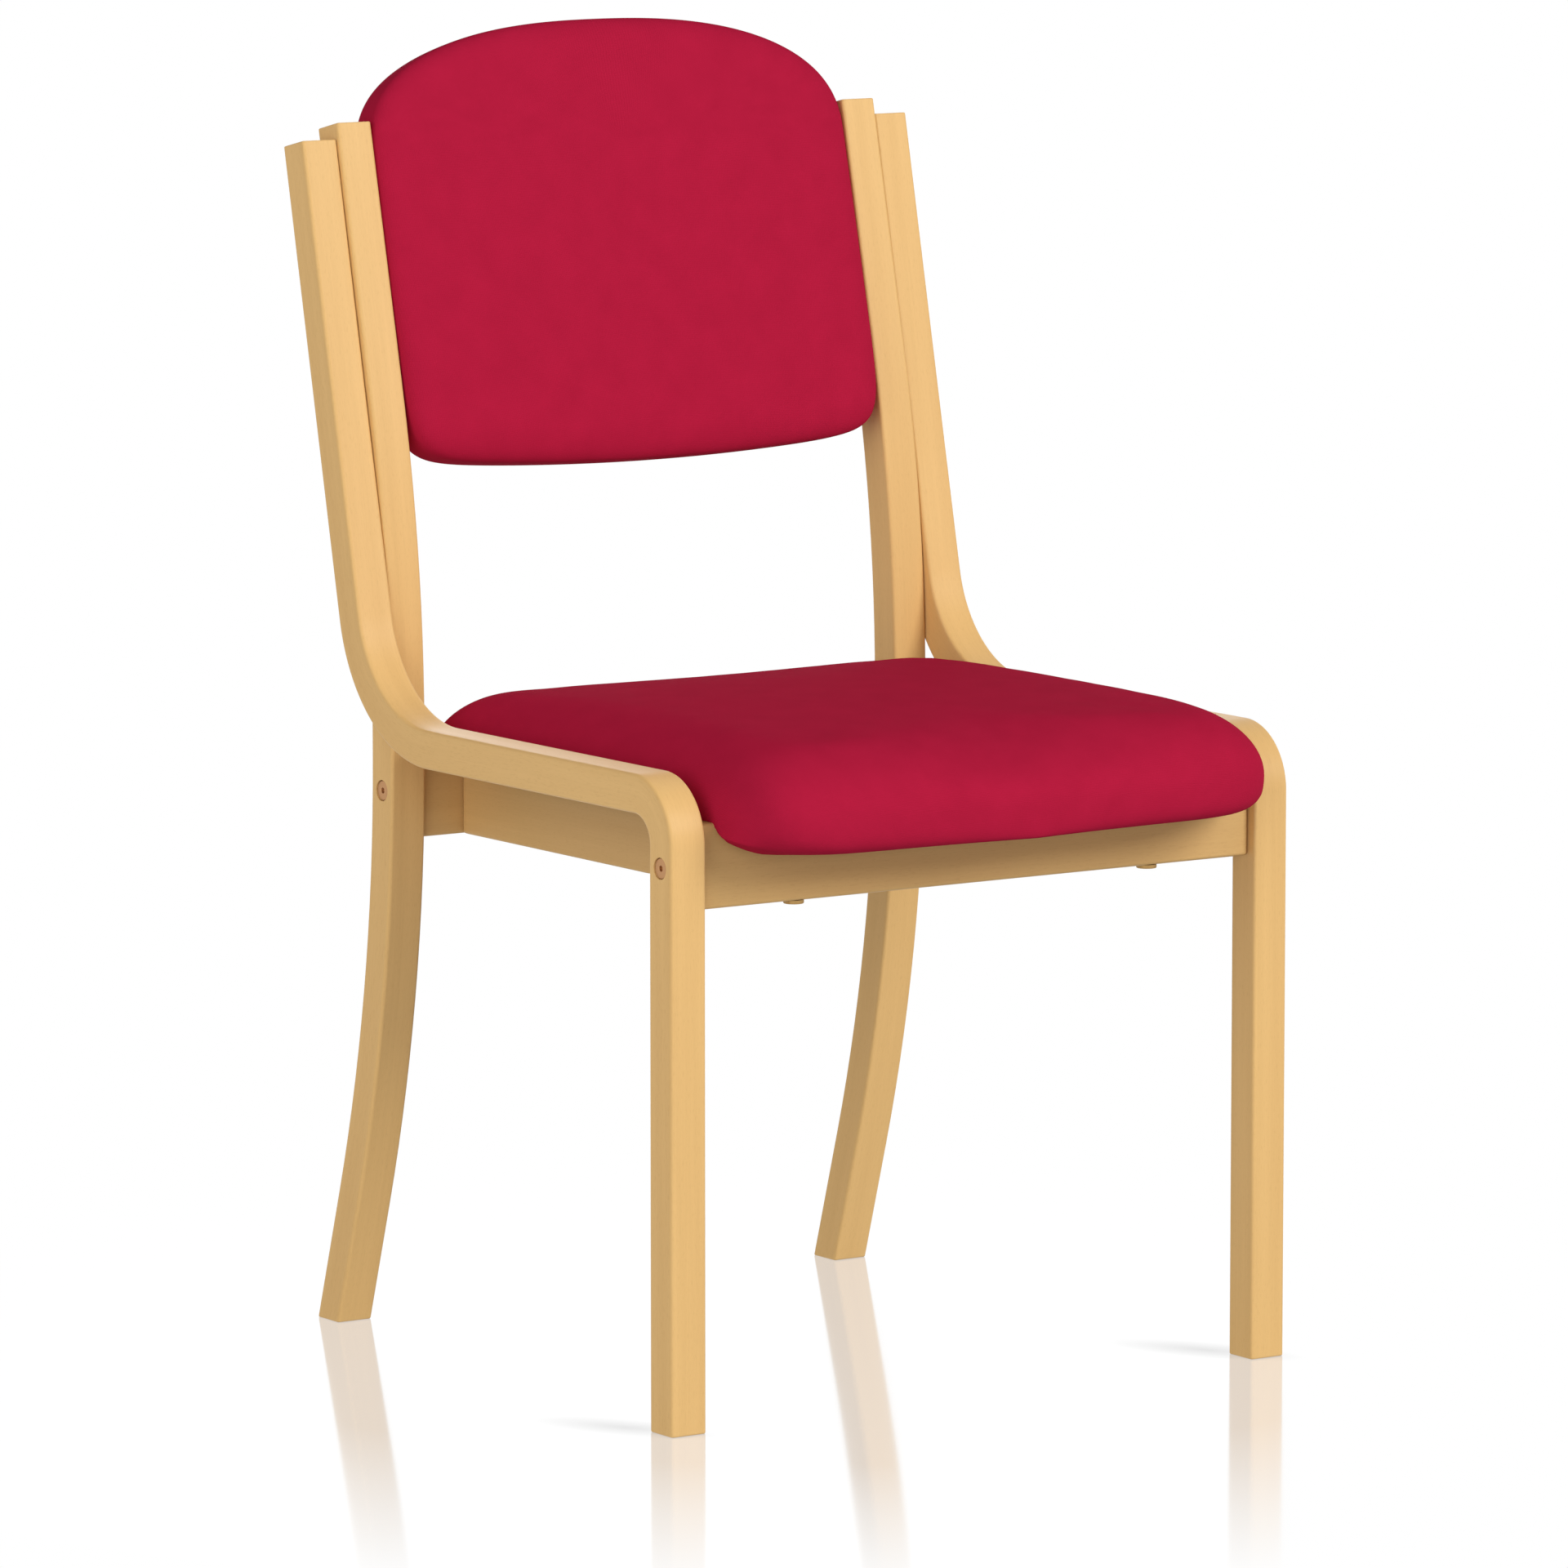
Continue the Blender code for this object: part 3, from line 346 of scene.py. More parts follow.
def stick_section(inset=0.0, steps=6):
    """Rounded rectangle: four quarter circles about fixed centres, their radius less the inset,
    and two points on each flat, close beside the quarter circles, that keep its shading flat."""
    t = (np.arange(4)[:, None] + np.linspace(0.0, 1.0, steps + 1)) * math.pi / 2
    sign = np.array(((1, 1), (-1, 1), (-1, -1), (1, -1)))
    centre = sign * (np.array((STICK_WIDTH, STICK_DEPTH)) / 2 - STICK_EDGE)
    arcs = centre[:, None] + (STICK_EDGE - inset) * np.stack((np.cos(t), np.sin(t)), axis=-1)
    flat_start, flat_end = arcs[:, -1], np.roll(arcs[:, 0], -1, axis=0)
    along = (flat_end - flat_start) / np.linalg.norm(flat_end - flat_start, axis=1)[:, None]
    beside = np.stack((flat_start + along * FLAT_BESIDE_EDGE, flat_end - along * FLAT_BESIDE_EDGE), axis=1)
    return np.concatenate((arcs, beside), axis=1).reshape(-1, 2)


print("the section of a stick has", len(stick_section()), "points")

# %% [markdown]
# A bent stick is sawn to length after it is glued. The feet are sawn level with the floor, which cuts
# the splayed rear leg at a slant, and the tops are sawn square. The saw's plane is met by each long
# line of the stick in turn, and a few rings that shrink towards the plane break the sharp edge.

# %% Sticks with sawn ends
def stick_end(point, direction, saw):
    """Rings from a sawn end inwards. A long line of the stick at height h over the middle line meets
    the plane with outward normal s, moved in by d, at -(d + h n.s) / (f.s) along its direction f."""
    q = np.linspace(0.0, math.pi / 2, 5)
    insets = np.append(END_EDGE * (1 - np.sin(q)), 0.0)
    moved = np.append(END_EDGE * (1 - np.cos(q)), END_EDGE + FLAT_BESIDE_EDGE)
    section = np.stack([stick_section(inset) for inset in insets])
    normal = np.array((-direction[1], direction[0]))
    slide = -(moved[:, None] + section[..., 1] * (normal @ saw)) / (direction @ saw)
    flat = point + section[..., 1:] * normal + slide[..., None] * direction
    return np.concatenate((section[..., :1], flat), axis=-1)


def bent_stick(name, x, line, directions, first_saw, last_saw):
    """Carry the section along the line: point + h n, with n the direction turned a quarter."""
    normals = np.stack((-directions[:, 1], directions[:, 0]), axis=1)
    section = stick_section()
    inner = line[1:-1, None] + section[:, 1:] * normals[1:-1, None]
    width = np.broadcast_to(section[:, :1], (len(inner), len(section), 1))
    middle = np.concatenate((width, inner), axis=-1)
    first = stick_end(line[0], directions[0], np.asarray(first_saw, float))
    last = stick_end(line[-1], directions[-1], np.asarray(last_saw, float))[::-1]
    rings = np.concatenate((first, middle, last))
    caps = np.stack((rings[0].mean(axis=0), rings[-1].mean(axis=0)))
    points = np.concatenate((rings.reshape(-1, 3), caps)) + (x, 0.0, 0.0)
    count = len(section)
    ring = np.arange(count)
    last_ring = ring + (len(rings) - 1) * count
    tops = len(rings) * count + np.zeros((count, 2), int)
    near = np.column_stack((np.roll(ring, -1), ring, tops))
    far = np.column_stack((last_ring, np.roll(last_ring, -1), tops + 1))
    faces = np.concatenate((grid_faces(len(rings), count, wrap=True), near, far))
    return make_mesh(name, points, faces)


# %% [markdown]
# Seen from the side, the chair is two lines: one through the side frame and one through the rear leg.
# Their corners come from where the straight runs would meet, and each corner gets the radius that its
# mould would have. The rear leg's radii are longer than a metre, which makes the slow bow of the leg.

# %% The two lines, in (y, z) from the front of the front legs and the floor
LEG_MIDDLE = STICK_DEPTH / 2
SIDE_RAIL_TOP = 0.460
SIDE_RAIL_MIDDLE = SIDE_RAIL_TOP - STICK_DEPTH / 2
SIDE_BENDS = (0.034, 0.107)
REAR_BENDS = (1.12, 1.10)
OUTER_LEAN = math.radians(12.2)
OUTER_TOP = 0.8684
REAR_MIDDLE = 0.4243
FOOT_REACH = 0.0798
FOOT_SPLAY = math.radians(17.2)
INNER_LEAN = math.radians(12.69)
INNER_BEND = 0.569
INNER_TOP = 0.8802
OUTER_STEP = 0.0026


def inner_upright(z):
    """Middle line of the inner upright at a height: straight, from the bend up."""
    return REAR_MIDDLE + (z - INNER_BEND) * math.tan(INNER_LEAN)


def outer_upright(z):
    """Middle line of the outer upright, which meets the inner one near its top and leans less."""
    return inner_upright(OUTER_TOP) + OUTER_STEP - (OUTER_TOP - z) * math.tan(OUTER_LEAN)


side_corners = (
    (LEG_MIDDLE, 0.0),
    (LEG_MIDDLE, SIDE_RAIL_MIDDLE),
    (outer_upright(SIDE_RAIL_MIDDLE), SIDE_RAIL_MIDDLE),
    (outer_upright(OUTER_TOP), OUTER_TOP),
)
rear_corners = (
    (REAR_MIDDLE + FOOT_REACH, 0.0),
    (REAR_MIDDLE, FOOT_REACH / math.tan(FOOT_SPLAY)),
    (REAR_MIDDLE, INNER_BEND),
    (inner_upright(INNER_TOP), INNER_TOP),
)
side_line = bent_line(np.add(side_corners, (FRONT, 0.0)), SIDE_BENDS)
rear_line = bent_line(np.add(rear_corners, (FRONT, 0.0)), REAR_BENDS)
print("points along a side frame", len(side_line[0]), "and a rear leg", len(rear_line[0]))

# %% [markdown]
# ## Bolt holes and the grain that follows the bends
#
# The flat bolt heads lie in shallow round holes, so each stick is drilled with a Boolean before its
# grain is laid. The grain vector of a point is its distance along the line, its place across the
# stick and its height over the line; each stick starts at its own place in the endless timber.

# %% Drill a stick and lay its grain
HEAD_HEIGHT = 0.0024
HEAD_CLEARANCE = 0.0004
DRILL_REACH = 0.01


def round_bar(name, centre, radius, reach, sides=72):
    """Cylinder along X: (reach u, radius cos t, radius sin t), closed by a middle point at each end."""
    t = np.arange(sides) * 2 * math.pi / sides
    circle = np.column_stack((np.zeros(sides), np.cos(t) * radius, np.sin(t) * radius))
    ends = np.stack((circle - (reach, 0, 0), circle + (reach, 0, 0)))
    points = np.concatenate((ends.reshape(-1, 3), ((-reach, 0, 0), (reach, 0, 0)))) + centre
    ring = np.arange(sides)
    tops = np.zeros((sides, 2), int) + 2 * sides
    near = np.column_stack((np.roll(ring, -1), ring, tops))
    far = np.column_stack((ring + sides, np.roll(ring, -1) + sides, tops + 1))
    return make_mesh(name, points, np.concatenate((grid_faces(2, sides, wrap=True), near, far)))


def drill(stick, bolt):
    """Sink a flat-bottomed hole for a bolt's head into the stick's outer face."""
    low, high = (np.array(corner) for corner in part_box(bolt))
    head_radius = (high[2] - low[2]) / 2
    outward = -1.0 if low[0] < 0 else 1.0
    face = low[0] if outward < 0 else high[0]
    bottom = face - outward * (HEAD_HEIGHT + HEAD_CLEARANCE)
    centre = np.array((bottom + outward * DRILL_REACH, (low[1] + high[1]) / 2, (low[2] + high[2]) / 2))
    tool = round_bar("bolt hole", centre, head_radius + HEAD_CLEARANCE, DRILL_REACH)
    cut = stick.modifiers.new("bolt hole", "BOOLEAN")
    cut.solver = "EXACT"
    cut.object = tool
    graph = bpy.context.evaluated_depsgraph_get()
    drilled = bpy.data.meshes.new_from_object(stick.evaluated_get(graph))
    stick.modifiers.clear()
    stick.data = drilled
    bpy.data.objects.remove(tool, do_unlink=True)
    drilled.set_sharp_from_angle(angle=math.radians(40.0))


def lay_grain(stick, line, directions, start):
    """Grain vector (distance along, x, height over the line) from the nearest point of the line."""
    points = read_points(stick.data)
    gaps = points[:, None, 1:] - line[None]
    nearest = np.einsum("ijk,ijk->ij", gaps, gaps).argmin(axis=1)
    run = np.concatenate(((0.0,), np.cumsum(np.linalg.norm(np.diff(line, axis=0), axis=1))))
    gap = points[:, 1:] - line[nearest]
    f = directions[nearest]
    along = start + run[nearest] + (gap * f).sum(axis=1)
    over = gap[:, 1] * f[:, 0] - gap[:, 0] * f[:, 1]
    keep_vectors(stick, "grain", np.column_stack((along, points[:, 0] + start, over)))


# %% Make the four sticks
FLOOR_SAW = (0.0, -1.0)
RIGHT_TIMBER = 3.7
REAR_TIMBER = 1.9

for side, timber in (("left", 0.0), ("right", RIGHT_TIMBER)):
    sticks = (
        ("side_frame", "front", side_line, timber),
        ("rear_leg", "rear", rear_line, timber + REAR_TIMBER),
    )
    for kind, end, (line, directions), start in sticks:
        low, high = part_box(f"{kind}_{side}")
        middle = (low.x + high.x) / 2
        stick = bent_stick(f"bent_{kind}_{side}", middle, line, directions, FLOOR_SAW, directions[-1])
        drill(stick, f"frame_bolt_{end}_{side}")
        lay_grain(stick, line, directions, start)
        hand_over(stick, "beech", beech_bent, f"{kind}_{side}")

# %% [markdown]
# ## Rails and aprons
#
# The straight rails and aprons keep their CAD solids, which already have their rounded edges and
# every hole. Their triangles are loose, so a Weld joins them, an Edge Split keeps the holes sharp, and
# weighted normals make the broad faces look truly flat.

# %% Shade the straight timber
def dress(node, finish):
    """Join the loose triangles of a CAD node, smooth its small roundings and give it a finish."""
    solid = nodes[node]
    solid.data.shade_smooth()
    weld = solid.modifiers.new("join triangles", "WELD")
    weld.merge_threshold = 0.00001
    split = solid.modifiers.new("sharp holes", "EDGE_SPLIT")
    split.split_angle = math.radians(50.0)
    solid.modifiers.new("flat faces", "WEIGHTED_NORMAL")
    solid.data.materials.clear()
    solid.data.materials.append(finish)


for rail in ("front_rail", "rear_rail"):
    dress(rail, beech_across)
for apron in ("side_apron_left", "side_apron_right"):
    dress(apron, beech_lengthwise)
print("rails and aprons dressed")

# %% [markdown]
# ## Metal
#
# The bolts are bronzed steel and the hidden nuts and screws are zinc plated. No such coat is quite
# even, so one group lets a single colour and its roughness drift on a fine noise. Raw plywood and the
# dowels take the same group later, with other numbers.

# %% Mottled metal as a node group
mottle, given, result = open_group(
    "mottle",
    (("Colour", "Color"), ("Scale", "Float"), ("Amount", "Float"), ("Base Roughness", "Float")),
    (("Color", "Color"), ("Roughness", "Float"), ("Height", "Float")),
)
place = brick(mottle, "TexCoord").outputs["Object"]
cloud = brick(mottle, "TexNoise", {"Vector": place, "Scale": given.outputs["Scale"], "Detail": 4.0})
swing = calculate(mottle, "SUBTRACT", cloud.outputs["Fac"], 0.5)
swing = calculate(mottle, "MULTIPLY", swing, given.outputs["Amount"])
brightness = calculate(mottle, "ADD", swing, 1.0)
tinted = brick(mottle, "VectorMath", {0: given.outputs["Colour"], "Scale": brightness}, operation="SCALE")
mottle.links.new(tinted.outputs[0], result.inputs["Color"])
roughness = calculate(mottle, "ADD", given.outputs["Base Roughness"], swing)
mottle.links.new(roughness, result.inputs["Roughness"])
mottle.links.new(cloud.outputs["Fac"], result.inputs["Height"])
print("mottle group:", len(mottle.nodes), "nodes")


# %% Three metal finishes
def mottled_finish(name, colour, roughness, metallic, scale, amount, bump_height):
    """One colour that drifts a little from place to place, with a fine uneven surface."""
    finish, tree, shader = new_finish(name)
    group = tree.nodes.new("ShaderNodeGroup")
    group.node_tree = mottle
    group.inputs["Colour"].default_value = (*colour, 1.0)
    group.inputs["Scale"].default_value = scale
    group.inputs["Amount"].default_value = amount
    group.inputs["Base Roughness"].default_value = roughness
    unevenness = {"Strength": 0.3, "Distance": bump_height, "Height": group.outputs["Height"]}
    bump = brick(tree, "Bump", unevenness)
    tree.links.new(group.outputs["Color"], shader.inputs["Base Color"])
    tree.links.new(group.outputs["Roughness"], shader.inputs["Roughness"])
    tree.links.new(bump.outputs[0], shader.inputs["Normal"])
    shader.inputs["Metallic"].default_value = metallic
    return finish


bronze = mottled_finish("bronzed steel", (0.48, 0.26, 0.12), 0.5, 1.0, 900.0, 0.18, 0.00005)
# A rougher copy of the bronze for the seat bolts; its darker colour is painted shade for their place under
# the front rail.
shaded_bronze = mottled_finish("dull bronze in painted shade", (0.40, 0.25, 0.095), 0.55, 1.0, 900.0, 0.25, 0.00005)
zinc = mottled_finish("zinc plate", (0.62, 0.62, 0.60), 0.38, 1.0, 700.0, 0.15, 0.00005)
print("metal finishes:", bronze.name, "/", shaded_bronze.name, "/", zinc.name)

# %% [markdown]
# ## Bronze bolts
#
# A flat furniture bolt is a lathe shape everywhere but in its socket, which is a hexagon. Both fit one
# grid: angle one way, and along the other way a list of steps, each with a radius that is either a
# circle or the hexagon's own radius at that angle.

# %% The surface of a bolt with a hexagon socket
SOCKET_ACROSS = 0.004
SOCKET_DEPTH = 0.0028
HEAD_EDGE = 0.0007
HEAD_FLAT = 0.0045
SHANK_RADIUS = 0.003
SHANK_EDGE = 0.0008


def bolt_surface(head_radius, head_height, length, sides=72):
    """Grid of (step, angle): radius and height of each step, from the socket's floor over the head's
    face and rim to the shank's tip. A hexagon's radius at angle t is half its width across the flats
    over the cosine of the angle to the nearest flat."""
    t = np.arange(sides) * 2 * math.pi / sides
    flat = (t + math.pi / 6) % (math.pi / 3) - math.pi / 6
    hexagon = SOCKET_ACROSS / 2 / np.cos(flat)
    q = np.linspace(0.0, math.pi / 2, 6)
    rim_radius = head_radius - HEAD_EDGE * (1 - np.sin(q))
    rim = np.column_stack((np.zeros(6), rim_radius, HEAD_EDGE * (1 - np.cos(q))))
    steps = [
        (1.0, -SOCKET_ACROSS / 2, SOCKET_DEPTH + 0.0004),
        (1.0, -0.0002, SOCKET_DEPTH),
        (1.0, 0.0, SOCKET_DEPTH - 0.0003),
        (1.0, 0.0, 0.0002),
        (1.0, 0.0002, 0.0),
        (0.0, HEAD_FLAT, 0.0),
        *rim,
        (0.0, head_radius, head_height),
        (0.0, SHANK_RADIUS, head_height),
        (0.0, SHANK_RADIUS, length - SHANK_EDGE),
        (0.0, SHANK_RADIUS - SHANK_EDGE, length),
        (0.0, 0.0, length),
    ]
    hexed, offset, height = np.array(steps).T[:, :, None]
    radius = np.maximum(hexed * hexagon + offset, 0.0)
    return radius, np.broadcast_to(height, radius.shape), t


# %% Make the six bolts that show their heads
SEAT_HEAD_HEIGHT = 0.0027


def make_bolt(name, node, finish, start, axis, across, up, head_height, length):
    """Stand the bolt's grid on its place: start + height axis + radius (cos t across + sin t up)."""
    low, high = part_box(node)
    head_radius = max(np.array(high - low)[np.abs(np.array(axis)) < 0.5]) / 2
    radius, height, t = bolt_surface(head_radius, head_height, length)
    axis, across, up = (np.array(part, float) for part in (axis, across, up))
    ring = np.cos(t)[:, None] * across + np.sin(t)[:, None] * up
    points = np.array(start) + height[..., None] * axis + radius[..., None] * ring
    bolt = make_mesh(name, points.reshape(-1, 3), grid_faces(*radius.shape, wrap=True))
    bolt.data.set_sharp_from_angle(angle=math.radians(35.0))
    hand_over(bolt, "bronze", finish, node)


for place in ("front_left", "front_right", "rear_left", "rear_right"):
    low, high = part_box(f"frame_bolt_{place}")
    inward = 1.0 if low.x < 0 else -1.0
    start = (low.x if inward > 0 else high.x, (low.y + high.y) / 2, (low.z + high.z) / 2)
    make_bolt(
        f"bronze_bolt_{place}", f"frame_bolt_{place}", bronze,
        start, (inward, 0, 0), (0, inward, 0), (0, 0, 1), HEAD_HEIGHT, high.x - low.x,
    )
for side in ("left", "right"):
    low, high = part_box(f"seat_bolt_{side}")
    start = ((low.x + high.x) / 2, (low.y + high.y) / 2, low.z)
    # The seat bolts take the darker bronze: painted shade under the seat's front rail.
    make_bolt(
        f"bronze_seat_bolt_{side}", f"seat_bolt_{side}", shaded_bronze,
        start, (0, 0, 1), (1, 0, 0), (0, 1, 0), SEAT_HEAD_HEIGHT, high.z - low.z,
    )

# %% [markdown]
# ## Red woven cloth
#
# The cover is a fine plain weave in wool. Seen close, each warp thread goes over and under the weft by
# turns: where the sines of both thread counts have the same sign the warp is on top, elsewhere the
# weft. A little noise bends the threads, so no two crossings are alike and no moire shows.

# %% Plain weave as a node group
plain_weave, given, result = open_group(
    "plain weave",
    (("Cloth", "Vector"), ("Threads", "Float"), ("Colour", "Color"), ("Shadow", "Color")),
    (("Color", "Color"), ("Height", "Float")),
)
cloth = given.outputs["Cloth"]


def weave_vector(operation, first, second):
    """One Vector Math node in the weave; SCALE takes a number, the others a second vector."""
    key = "Scale" if operation == "SCALE" else 1
    return brick(plain_weave, "VectorMath", {0: first, key: second}, operation=operation).outputs[0]


def weave_noise(scale, detail, output="Fac"):
    """Noise on the cloth's own vector."""
    inputs = {"Vector": cloth, "Scale": scale, "Detail": detail}
    return brick(plain_weave, "TexNoise", inputs).outputs[output]


wander = weave_vector("SUBTRACT", weave_noise(260.0, 2.0, "Color"), (0.5, 0.5, 0.5))
bent = weave_vector("ADD", cloth, weave_vector("SCALE", wander, 0.0012))
counted = weave_vector("SCALE", bent, given.outputs["Threads"])
split = brick(plain_weave, "SeparateXYZ", {0: counted})
wave_u = calculate(plain_weave, "SINE", calculate(plain_weave, "MULTIPLY", split.outputs["X"], math.pi))
wave_v = calculate(plain_weave, "SINE", calculate(plain_weave, "MULTIPLY", split.outputs["Y"], math.pi))
both = calculate(plain_weave, "MULTIPLY", wave_u, wave_v)
warp_on_top = calculate(plain_weave, "GREATER_THAN", both, 0.0)
warp = calculate(plain_weave, "ABSOLUTE", wave_u)
weft = calculate(plain_weave, "ABSOLUTE", wave_v)
thread = brick(plain_weave, "Mix", {0: warp_on_top, 2: weft, 3: warp}).outputs[0]
thread = calculate(plain_weave, "MULTIPLY", thread, 0.7)
fuzz = calculate(plain_weave, "MULTIPLY", weave_noise(1400.0, 3.0), 0.6)
lift = calculate(plain_weave, "ADD", thread, fuzz)
drift = remap(plain_weave, weave_noise(35.0, 3.0), 0.3, 0.7, -0.08, 0.08)
lit = calculate(plain_weave, "ADD", remap(plain_weave, lift, 0.1, 1.2, 0.35, 1.0), drift)
shades = {0: lit, 6: given.outputs["Shadow"], 7: given.outputs["Colour"]}
dyed = brick(plain_weave, "Mix", shades, data_type="RGBA")
plain_weave.links.new(dyed.outputs[2], result.inputs["Color"])
plain_weave.links.new(lift, result.inputs["Height"])
print("plain weave group:", len(plain_weave.nodes), "nodes")

# %% The red cover cloth and the black dust cloth
RED = (0.442, 0.0120, 0.0470, 1.0)
RED_SHADOW = (0.265, 0.0062, 0.0245, 1.0)
BLACK = (0.030, 0.030, 0.031, 1.0)
BLACK_SHADOW = (0.012, 0.012, 0.012, 1.0)


def woven_finish(name, colour, shadow, threads):
    """Matt cloth with so many threads a metre, darker in the hollows between them."""
    finish, tree, shader = new_finish(name)
    group = tree.nodes.new("ShaderNodeGroup")
    group.node_tree = plain_weave
    cloth = brick(tree, "Attribute", attribute_name="cloth").outputs["Vector"]
    tree.links.new(cloth, group.inputs["Cloth"])
    group.inputs["Threads"].default_value = threads
    group.inputs["Colour"].default_value = colour
    group.inputs["Shadow"].default_value = shadow
    bump = brick(tree, "Bump", {"Strength": 0.35, "Distance": 0.0002, "Height": group.outputs["Height"]})
    tree.links.new(group.outputs["Color"], shader.inputs["Base Color"])
    tree.links.new(bump.outputs[0], shader.inputs["Normal"])
    shader.inputs["Roughness"].default_value = 0.95
    shader.inputs["Specular IOR Level"].default_value = 0.008
    return finish


red_cloth = woven_finish("red wool cloth", RED, RED_SHADOW, 950.0)
dust_cloth = woven_finish("black dust cloth", BLACK, BLACK_SHADOW, 1400.0)
print("cloth finishes:", red_cloth.name, "/", dust_cloth.name)

# %% [markdown]
# ## A cushion as one grid
#
# Seat and back are both pads with a rounded outline and a rounded edge. A square grid is laid on each
# face: the direction of a grid point from the middle picks a point of the outline, and how far out it
# lies picks an angle round the edge. Front and rear grids share their rim, so the pad is closed
# without poles. The same functions run over many angles at once give the length along the surface,
# which unrolls the cloth for the weave.

# %% Square grids that close over a rim
def rim_spacing(height_to_width, power, steps):
    """Angles from the middle of a face, 0, to the rim, a quarter turn, at even lengths along the edge
    curve (sin^(2/n), k cos^(2/n))."""
    angle = np.linspace(0.0, math.pi / 2, 2000)
    out = np.sin(angle) ** (2 / power)
    up = np.cos(angle) ** (2 / power) * height_to_width
    length = np.concatenate(((0.0,), np.cumsum(np.hypot(np.diff(out), np.diff(up)))))
    return np.interp(np.linspace(0.0, length[-1], steps + 1), length, angle)


def pad_grid(angles):
    """Directions (a, b) and edge angles for both faces, and the faces that join them at the rim."""
    steps = len(angles) - 1
    side = np.arange(-steps, steps + 1)
    i, j = (part.ravel() for part in np.meshgrid(side, side))
    ring = np.maximum(np.abs(i), np.abs(j))
    size = np.maximum(ring, 1)
    direction = np.column_stack((i / size, j / size))
    count = len(ring)
    faces = grid_faces(2 * steps + 1, 2 * steps + 1)
    inside = np.flatnonzero(ring < steps)
    second = np.arange(count)
    second[inside] = count + np.arange(len(inside))
    both = np.concatenate((direction, direction[inside]))
    turned = np.concatenate((angles[ring], math.pi - angles[ring[inside]]))
    return both, turned, np.concatenate((faces, second[faces][:, ::-1]))


def unroll(surface, direction, angle, steps=24):
    """Cloth vector of each point: its direction on the pad times its length along the surface."""
    share = np.linspace(0.0, 1.0, steps + 1)[:, None]
    path = surface(direction[None], angle[None] * share)
    length = np.linalg.norm(np.diff(path, axis=0), axis=-1).sum(axis=0)
    heading = direction / np.maximum(np.linalg.norm(direction, axis=1), 1e-9)[:, None]
    return np.column_stack((heading * length[:, None], np.zeros(len(length))))


print("a pad of 3 rings has", len(pad_grid(np.linspace(0.0, math.pi / 2, 4))[2]), "faces")

# %% [markdown]
# ## Padding by cloth simulation
#
# Upholstery is tight cloth that foam pushes outwards. Each cover is cut two hundredths too large, is
# held where it is stapled, and is blown up for twenty frames. Foam stops cloth from sinking in, so
# each point keeps the outward share of its movement. Bare cloth also swells more than cloth on firm
# foam, so all of it is scaled down until the largest step meets a cap; then the modifier goes.

# %% Blow a cover up
PRESSURE = 4.0
LAST_FRAME = 20


def blow_up(cover, held, cap):
    """Simulate a closed cover under pressure, with held points pinned, and keep the capped result."""
    before = read_points(cover.data)
    pins = cover.vertex_groups.new(name="stapled")
    pins.add(np.flatnonzero(held).tolist(), 1.0, "REPLACE")
    padding = cover.modifiers.new("padding", "CLOTH")
    settings = padding.settings
    settings.quality = 5
    settings.tension_stiffness = 12.0
    settings.compression_stiffness = 12.0
    settings.shear_stiffness = 6.0
    settings.bending_stiffness = 1.5
    settings.shrink_min = -0.02
    settings.use_pressure = True
    settings.uniform_pressure_force = PRESSURE
    settings.effector_weights.gravity = 0.0
    settings.vertex_group_mass = pins.name
    padding.collision_settings.use_collision = False
    scene = bpy.context.scene
    for step in range(1, LAST_FRAME + 1):
        scene.frame_set(step)
    graph = bpy.context.evaluated_depsgraph_get()
    after = read_points(cover.evaluated_get(graph).data)
    scene.frame_set(1)
    cover.modifiers.remove(padding)
    cover.vertex_groups.clear()
    normals = np.empty(before.size)
    cover.data.vertices.foreach_get("normal", normals)
    normals = normals.reshape(-1, 3)
    move = after - before
    swell = (np.einsum("ij,ij->i", move, normals) + np.linalg.norm(move, axis=1)) / 2
    most = swell.max()
    swell *= min(1.0, cap / most)
    cover.data.vertices.foreach_set("co", (before + normals * swell[:, None]).ravel())
    cover.data.update()
    kept = swell[~held].mean()
    print(cover.name, "swelled", round(most * 1000, 1), "mm; kept", round(kept * 1000, 2), "mm on average")


def finish_pad(cover, cloth, held, cap):
    """Pad a cover, smooth it once and store the weave's vectors."""
    keep_vectors(cover, "cloth", cloth)
    blow_up(cover, held, cap)
    smooth = cover.modifiers.new("smooth cloth", "SUBSURF")
    smooth.levels = 1
    smooth.render_levels = 1


# %% [markdown]
# ## The seat
#
# The seat is a broad pad with a gentle crown. Its front comes forward over the front rail in one soft
# round nose that turns under in front of it, while its sides and rear have a tighter edge. Underneath
# it lies flat on the rails, where the cloth is folded in round a black dust cloth.

# %% Measures of the seat: heights, crown, roundings, outline and tuck
seat_low, seat_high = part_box("seat_cover")
rail_low, rail_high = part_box("front_rail")
SEAT_BASE = rail_high.z + 0.0003
SEAT_WIDEST = SEAT_BASE + 0.0054
SEAT_SHOULDER = SEAT_BASE + 0.0470
SEAT_CROWN_ALONG = 0.0115
SEAT_CROWN_ACROSS = 0.0025
SEAT_SWELL = 0.0045
SEAT_ROUND = 0.0626
SEAT_NOSE_ROUND = 0.115
SEAT_OUTLINE_FRONT = 8.5
SEAT_OUTLINE_REAR = 24.0
SEAT_TUCK_SIDE = 0.001
SEAT_TUCK_CORNER = 0.0308
SEAT_TUCK_FRONT = 0.0045
SEAT_TUCK_POWER = 3.0
SEAT_EDGE = SEAT_BASE - 0.0208
SEAT_EDGE_RISE = 0.0113
SEAT_RISE_POWER = 12.4
SEAT_UNDER_SLOPE = 0.13
SEAT_UNDER_RUN = 0.07
NOSE_FROM = 0.80
NOSE_FULL = 0.94
FLAT_SHARE = 0.66
TUCK_SHARE = 0.13
print("seat rim at", round(SEAT_WIDEST, 4), "m, lower edge of the nose at", round(SEAT_EDGE, 4), "m")

